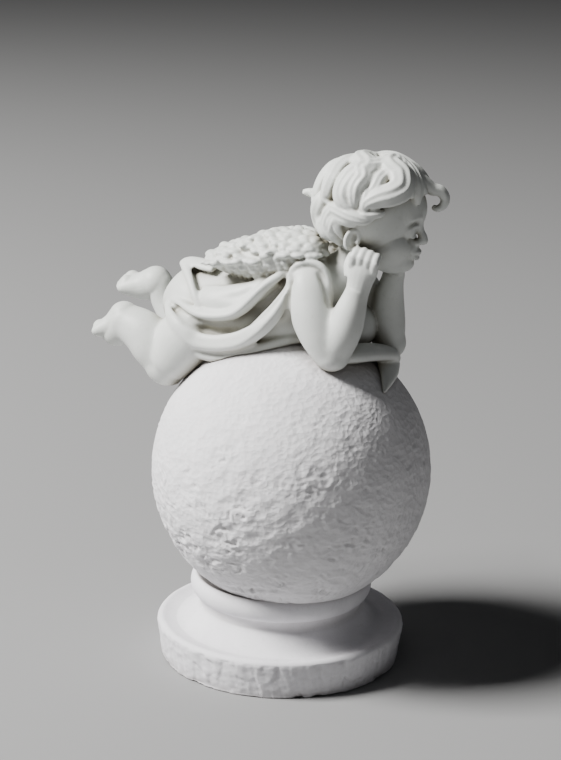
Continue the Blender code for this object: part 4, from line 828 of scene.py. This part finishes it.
def make_ball():
    """The ball in an upper and a lower half, its skin beaten into lumps and ledges, bolder low down."""
    angles = np.linspace(0, math.pi, 340)
    rows = [(BALL_RADIUS * math.sin(a), BALL_RADIUS * math.cos(a)) for a in angles]

    def push(places):
        spots = places * MM_PER_M
        radius = BALL_RADIUS * MM_PER_M
        height = spots[..., 2] / radius
        strength = 0.30 + 0.70 * np.clip((0.70 - height) / 0.9, 0, 1)
        strength *= 0.80 + 0.40 * wander(spots, 18, 11)
        strength *= 0.80 + 0.60 * np.clip(spots @ BOLD_SIDE / radius, 0, 1)
        above_seat = np.clip((height + 0.82) / 0.08, 0, 1)
        patchy = np.clip(0.5 + 0.9 * blobs(spots, PATCH_WIDTH, 17, 0.8), 0, 1.4)
        bent = spots + np.stack([blobs(spots, 5, seed, 0.62) for seed in (41, 42, 43)], -1) * 0.5
        ledges = 1 - 2 * np.abs(np.clip(blobs(bent, LEDGE_WIDTH, 21, 0.78) * 0.7, -1, 1))
        pits = np.clip(-blobs(bent, PIT_WIDTH, 31, 0.85) - 0.8, 0, 1)
        lift = COARSE_DEPTH * blobs(spots, COARSE_WIDTH, 3, 0.8)
        lift = lift + (LEDGE_DEPTH * ledges - PIT_DEPTH * pits) * patchy
        lift = lift + FINE_DEPTH * blobs(spots, FINE_WIDTH, 7, 0.9) + SKIN_LEVEL
        return np.minimum(lift * strength, 0.0) * above_seat * UNIT

    ball = turned("ball_upper", rows, 640, push)
    ball.data.transform(Matrix.Translation(BALL_CENTRE))
    lower = object_of("ball_lower", ball.data.copy())
    for piece, below in ((ball, True), (lower, False)):
        half = bmesh.new()
        half.from_mesh(piece.data)
        spare = [f for f in half.faces if (f.calc_center_median().z < BALL_CENTRE.z) == below]
        bmesh.ops.delete(half, geom=spare, context="FACES")
        half.to_mesh(piece.data)
        half.free()
    return ball, lower


# The plinth's profile, in the same sizes as its solid
PLINTH_LEAN = 0.0014
RIM_HEIGHT = 0.0113
LIP_RADIUS = 0.0016
TROUGH_DEPTH = 0.0010
TROUGH_WIDTH = 0.0040
WAIST_RADIUS = 0.0234
COVE_RISE = 0.0044
COLLAR_RADIUS = 0.0263
COLLAR_THICKNESS = 0.0082
WAIST_HEIGHT = RIM_HEIGHT + COVE_RISE
COLLAR_MIDDLE = WAIST_HEIGHT + 0.75 * COLLAR_THICKNESS
SEAT_ANGLE = 37.6
# The tooled side's marks are laid out in millimetres on a round of this radius and height
TOOLED_RADIUS = 36
TOOLED_HEIGHT = 10


def arc(centre, radius, start, end, count):
    """Points of a round in the turned profile, as distance from the axis and height."""
    return [(centre[0] + radius * math.cos(a), centre[1] + radius * math.sin(a))
            for a in np.radians(np.linspace(start, end, count))]


def plinth_profile():
    """Seat, collar, waist, cove, trough, lip and leaning side, from the axis to the axis, top to bottom."""
    ring = COLLAR_THICKNESS / 2
    trough = PLINTH_RADIUS - LIP_RADIUS - TROUGH_WIDTH
    floor = RIM_HEIGHT - TROUGH_DEPTH
    seat = BALL_RADIUS + SEAM / 6
    profile = []
    for turn in np.radians(np.linspace(0, SEAT_ANGLE, 22)):
        profile.append((seat * math.sin(turn), BALL_CENTRE.z - seat * math.cos(turn)))
    collar = arc((COLLAR_RADIUS - ring, COLLAR_MIDDLE), ring, 90, -70, 36)
    edge = profile[-1][0]
    profile += [p for p in collar if math.hypot(p[0], BALL_CENTRE.z - p[1]) > seat and p[0] > edge]
    for turn in np.radians(np.linspace(0, 90, 22)):
        profile.append((trough - (trough - WAIST_RADIUS) * (1 - math.sin(turn)) ** 0.9,
                        floor + (WAIST_HEIGHT - floor) * (1 - math.sin(turn)) ** 1.6))
    profile += arc((PLINTH_RADIUS - LIP_RADIUS, RIM_HEIGHT - LIP_RADIUS), LIP_RADIUS, 120, 0, 10)
    side = [(PLINTH_RADIUS - PLINTH_LEAN * t, (RIM_HEIGHT - LIP_RADIUS) * (1 - t))
            for t in np.linspace(0.04, 1, 22)]
    under = [(side[-1][0] * (1 - t), 0) for t in np.linspace(0.03, 1, 8)]
    return profile + side + under


def make_plinth():
    """The turned plinth, with a tooled, chipped side and an uneven lower edge."""

    def push(places):
        spots = places * MM_PER_M
        radius = np.linalg.norm(spots[..., :2], axis=-1)
        height = spots[..., 2]
        turn = np.arctan2(spots[..., 1], spots[..., 0])
        lift = 0.05 * wander(spots, 7, 2) - 0.03
        below_lip = height < (RIM_HEIGHT - LIP_RADIUS * 0.7) * MM_PER_M
        side = below_lip & (radius > 0.9 * PLINTH_RADIUS * MM_PER_M)
        chips = chipped(spots, math.tau * TOOLED_RADIUS * TOOLED_HEIGHT, 9, 1.5, 2.4)
        strokes = wander(np.stack([turn * TOOLED_RADIUS, height * 0.12, height * 0], -1), 3.0, 4)
        bitten = np.clip(1 - height / 2.6, 0, 1) * np.clip(wander(spots, 8, 8) + 0.15, 0, 1)
        rough = 0.10 * chips + 0.10 * strokes + 0.06 * wander(spots, 2.2, 6) - 0.16 - 0.45 * bitten
        lift = np.where(side, np.minimum(rough, 0.0), lift)
        return np.where(radius > 1, lift, 0) * UNIT

    return turned("plinth_cast", plinth_profile(), 480, push)


def cast_material(name, light, shade, painted_shade, roughness, grain, chip):
    """Matt plaster: broad mottling, painted shade in the hollows and creases, fine specks, and grain and
    chips in the bump.
    """
    material = bpy.data.materials.new(name)
    material.use_nodes = True
    nodes, links = material.node_tree.nodes, material.node_tree.links
    shader = nodes["Principled BSDF"]
    shader.inputs["Specular IOR Level"].default_value = 0.35
    place = nodes.new("ShaderNodeTexCoord").outputs["Object"]

    def node_of(kind, **values):
        node = nodes.new("ShaderNode" + kind)
        for name, value in values.items():
            node.inputs[name.replace("_", " ")].default_value = value
        if kind.startswith("Tex") or kind == "Mapping":
            links.new(place, node.inputs["Vector"])
        return node

    def noise_of(scale, detail):
        return node_of("TexNoise", Scale=scale, Detail=detail).outputs["Fac"]

    def ramp_of(source, low, high, start, end):
        ramp = nodes.new("ShaderNodeValToRGB")
        ramp.color_ramp.elements[0].position, ramp.color_ramp.elements[1].position = start, end
        ramp.color_ramp.elements[0].color, ramp.color_ramp.elements[1].color = (*low, 1), (*high, 1)
        links.new(source, ramp.inputs["Fac"])
        return ramp.outputs["Color"]

    def mixed(kind, amount, first, second):
        mix = nodes.new("ShaderNodeMix")
        mix.data_type, mix.blend_type = "RGBA", kind
        mix.inputs["Factor"].default_value = amount
        links.new(first, mix.inputs["A"])
        links.new(second, mix.inputs["B"])
        return mix.outputs["Result"]

    def bump_of(height, strength, distance, under=None):
        bump = node_of("Bump", Strength=strength, Distance=distance)
        links.new(height, bump.inputs["Height"])
        if under:
            links.new(under, bump.inputs["Normal"])
        return bump.outputs["Normal"]

    white = (1, 1, 1)
    colour = ramp_of(noise_of(90, 4), shade, light, 0.32, 0.62)
    # painted shade: ambient occlusion darkens the colour towards a warm tone in hollows and between parts
    occlusion_shade = node_of("AmbientOcclusion", Distance=0.006)
    colour = mixed("MULTIPLY", 1.0, colour, ramp_of(occlusion_shade.outputs["AO"], painted_shade, white, 0.15, 0.85))
    # painted shade: concave creases are darkened by the mesh's pointiness
    form = nodes.new("ShaderNodeNewGeometry")
    colour = mixed("MULTIPLY", 0.6, colour, ramp_of(form.outputs["Pointiness"], painted_shade, white, 0.42, 0.50))
    colour = mixed("MULTIPLY", 0.4, colour, ramp_of(noise_of(900, 2), (0.88, 0.88, 0.86), white, 0.30, 0.42))
    links.new(colour, shader.inputs["Base Color"])
    rough = node_of("MapRange", To_Min=roughness - 0.08, To_Max=min(1.0, roughness + 0.08))
    links.new(noise_of(220, 3), rough.inputs["Value"])
    links.new(rough.outputs["Result"], shader.inputs["Roughness"])
    normal = bump_of(noise_of(1400, 4), grain, 0.0002)
    if chip:
        flat = node_of("Mapping", Scale=(1, 1, 1.3)).outputs["Vector"]
        warp = node_of("TexNoise", Scale=260).outputs["Color"]
        cells = node_of("TexVoronoi", Scale=520)
        links.new(mixed("ADD", 0.0022, flat, warp), cells.inputs["Vector"])
        normal = bump_of(cells.outputs["Distance"], chip, 0.0006, normal)
    links.new(normal, shader.inputs["Normal"])
    return material


# Material slot, colour, its darker tone, the warm colour of the painted shade in hollows, roughness, strength
# of the grain and of the chips
FIGURE_LOOK = ("figure_bisque", (0.70, 0.72, 0.695), (0.64, 0.66, 0.63), (0.42, 0.38, 0.31), 0.46, 0.12, 0)
BALL_LOOK = ("ball_plaster", (0.80, 0.79, 0.81), (0.74, 0.73, 0.75), (0.52, 0.50, 0.48), 0.80, 0.45, 0.35)
PLINTH_LOOK = ("plinth_plaster", (0.80, 0.79, 0.82), (0.73, 0.72, 0.75), (0.52, 0.50, 0.48), 0.72, 0.30, 0)


def dress():
    """The three nodes' finer stand-ins, each in its material."""
    ball = make_ball()
    groups = (((make_figure(),), "angel_figure", FIGURE_LOOK), (ball, "textured_ball", BALL_LOOK),
              ((make_plinth(),), "round_plinth", PLINTH_LOOK))
    for pieces, node, look in groups:
        material = cast_material(*look)
        for piece in pieces:
            piece.data.materials.clear()
            piece.data.materials.append(material)
            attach(piece, "root")
            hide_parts(node)


# The photo's camera: where the ball's centre and radius fall in the picture, in pixels
PICTURE = (561, 760)
BALL_AT = (291.2, 467.5)
BALL_PIXELS = 139.8
AZIMUTH, ELEVATION, ROLL = math.radians(27), math.radians(18.53), math.radians(1.49)
DISTANCE = 0.55
FILM = 36.0


def add_camera():
    """The photo's viewpoint, aimed so that the ball falls where it does in the picture."""
    away = Vector((math.sin(AZIMUTH), -math.cos(AZIMUTH), 0)) * math.cos(ELEVATION)
    away += Vector((0, 0, math.sin(ELEVATION)))
    level = Vector((math.cos(AZIMUTH), math.sin(AZIMUTH), 0))
    upright = away.cross(level)
    right = level * math.cos(ROLL) + upright * math.sin(ROLL)
    up = upright * math.cos(ROLL) - level * math.sin(ROLL)
    focal = BALL_PIXELS * math.sqrt(DISTANCE**2 - BALL_RADIUS**2) / BALL_RADIUS
    spot = BALL_CENTRE + away * DISTANCE
    aim = (BALL_CENTRE - right * (BALL_AT[0] - PICTURE[0] / 2) / focal * DISTANCE
           + up * (BALL_AT[1] - PICTURE[1] / 2) / focal * DISTANCE)
    forward = (aim - spot).normalized()
    right = forward.cross(up).normalized()
    up = right.cross(forward)
    data = bpy.data.cameras.new("photo_camera")
    data.lens = focal * FILM / PICTURE[1]
    data.clip_start = 0.01
    camera = object_of("photo_camera", data)
    place = Matrix((right, up, -forward)).transposed().to_4x4()
    place.translation = spot
    camera.matrix_world = place
    bpy.context.scene.camera = camera


LIT_SPOT = Vector((0, 0, 0.08))
FLOOR_COLOUR = (0.26, 0.26, 0.262, 1)
SKY_COLOUR = (0.85, 0.87, 0.92, 1)
# Name, place, power, width and colour
LIGHTS = (("key", (-0.91, -0.71, 1.21), 84.0, 0.50, (1.0, 0.99, 0.97)),
          ("fill", (0.9, -0.9, 0.5), 0.4, 1.0, (0.95, 0.97, 1.0)))


def add_light(name, place, energy, size, colour):
    data = bpy.data.lights.new(name, "AREA")
    data.energy, data.size, data.color = energy, size, colour
    lamp = object_of(name, data)
    lamp.location = place
    lamp.rotation_mode = "QUATERNION"
    lamp.rotation_quaternion = (LIT_SPOT - Vector(place)).to_track_quat("-Z", "Y")


def add_studio():
    """A plain pale floor, a soft key light from the left, a faint fill and a faint sky."""
    world = bpy.data.worlds.new("studio")
    world.use_nodes = True
    sky = world.node_tree.nodes["Background"]
    sky.inputs["Color"].default_value = SKY_COLOUR
    sky.inputs["Strength"].default_value = 0.04
    bpy.context.scene.world = world
    for light in LIGHTS:
        add_light(*light)
    data = bpy.data.meshes.new("floor")
    plane = bmesh.new()
    bmesh.ops.create_grid(plane, x_segments=1, y_segments=1, size=3)
    plane.to_mesh(data)
    plane.free()
    floor = object_of("floor", data)
    paper = bpy.data.materials.new("pale_floor")
    paper.use_nodes = True
    shader = paper.node_tree.nodes["Principled BSDF"]
    shader.inputs["Base Color"].default_value = FLOOR_COLOUR
    shader.inputs["Roughness"].default_value = 0.9
    floor.data.materials.append(paper)


dress()
add_camera()
add_studio()
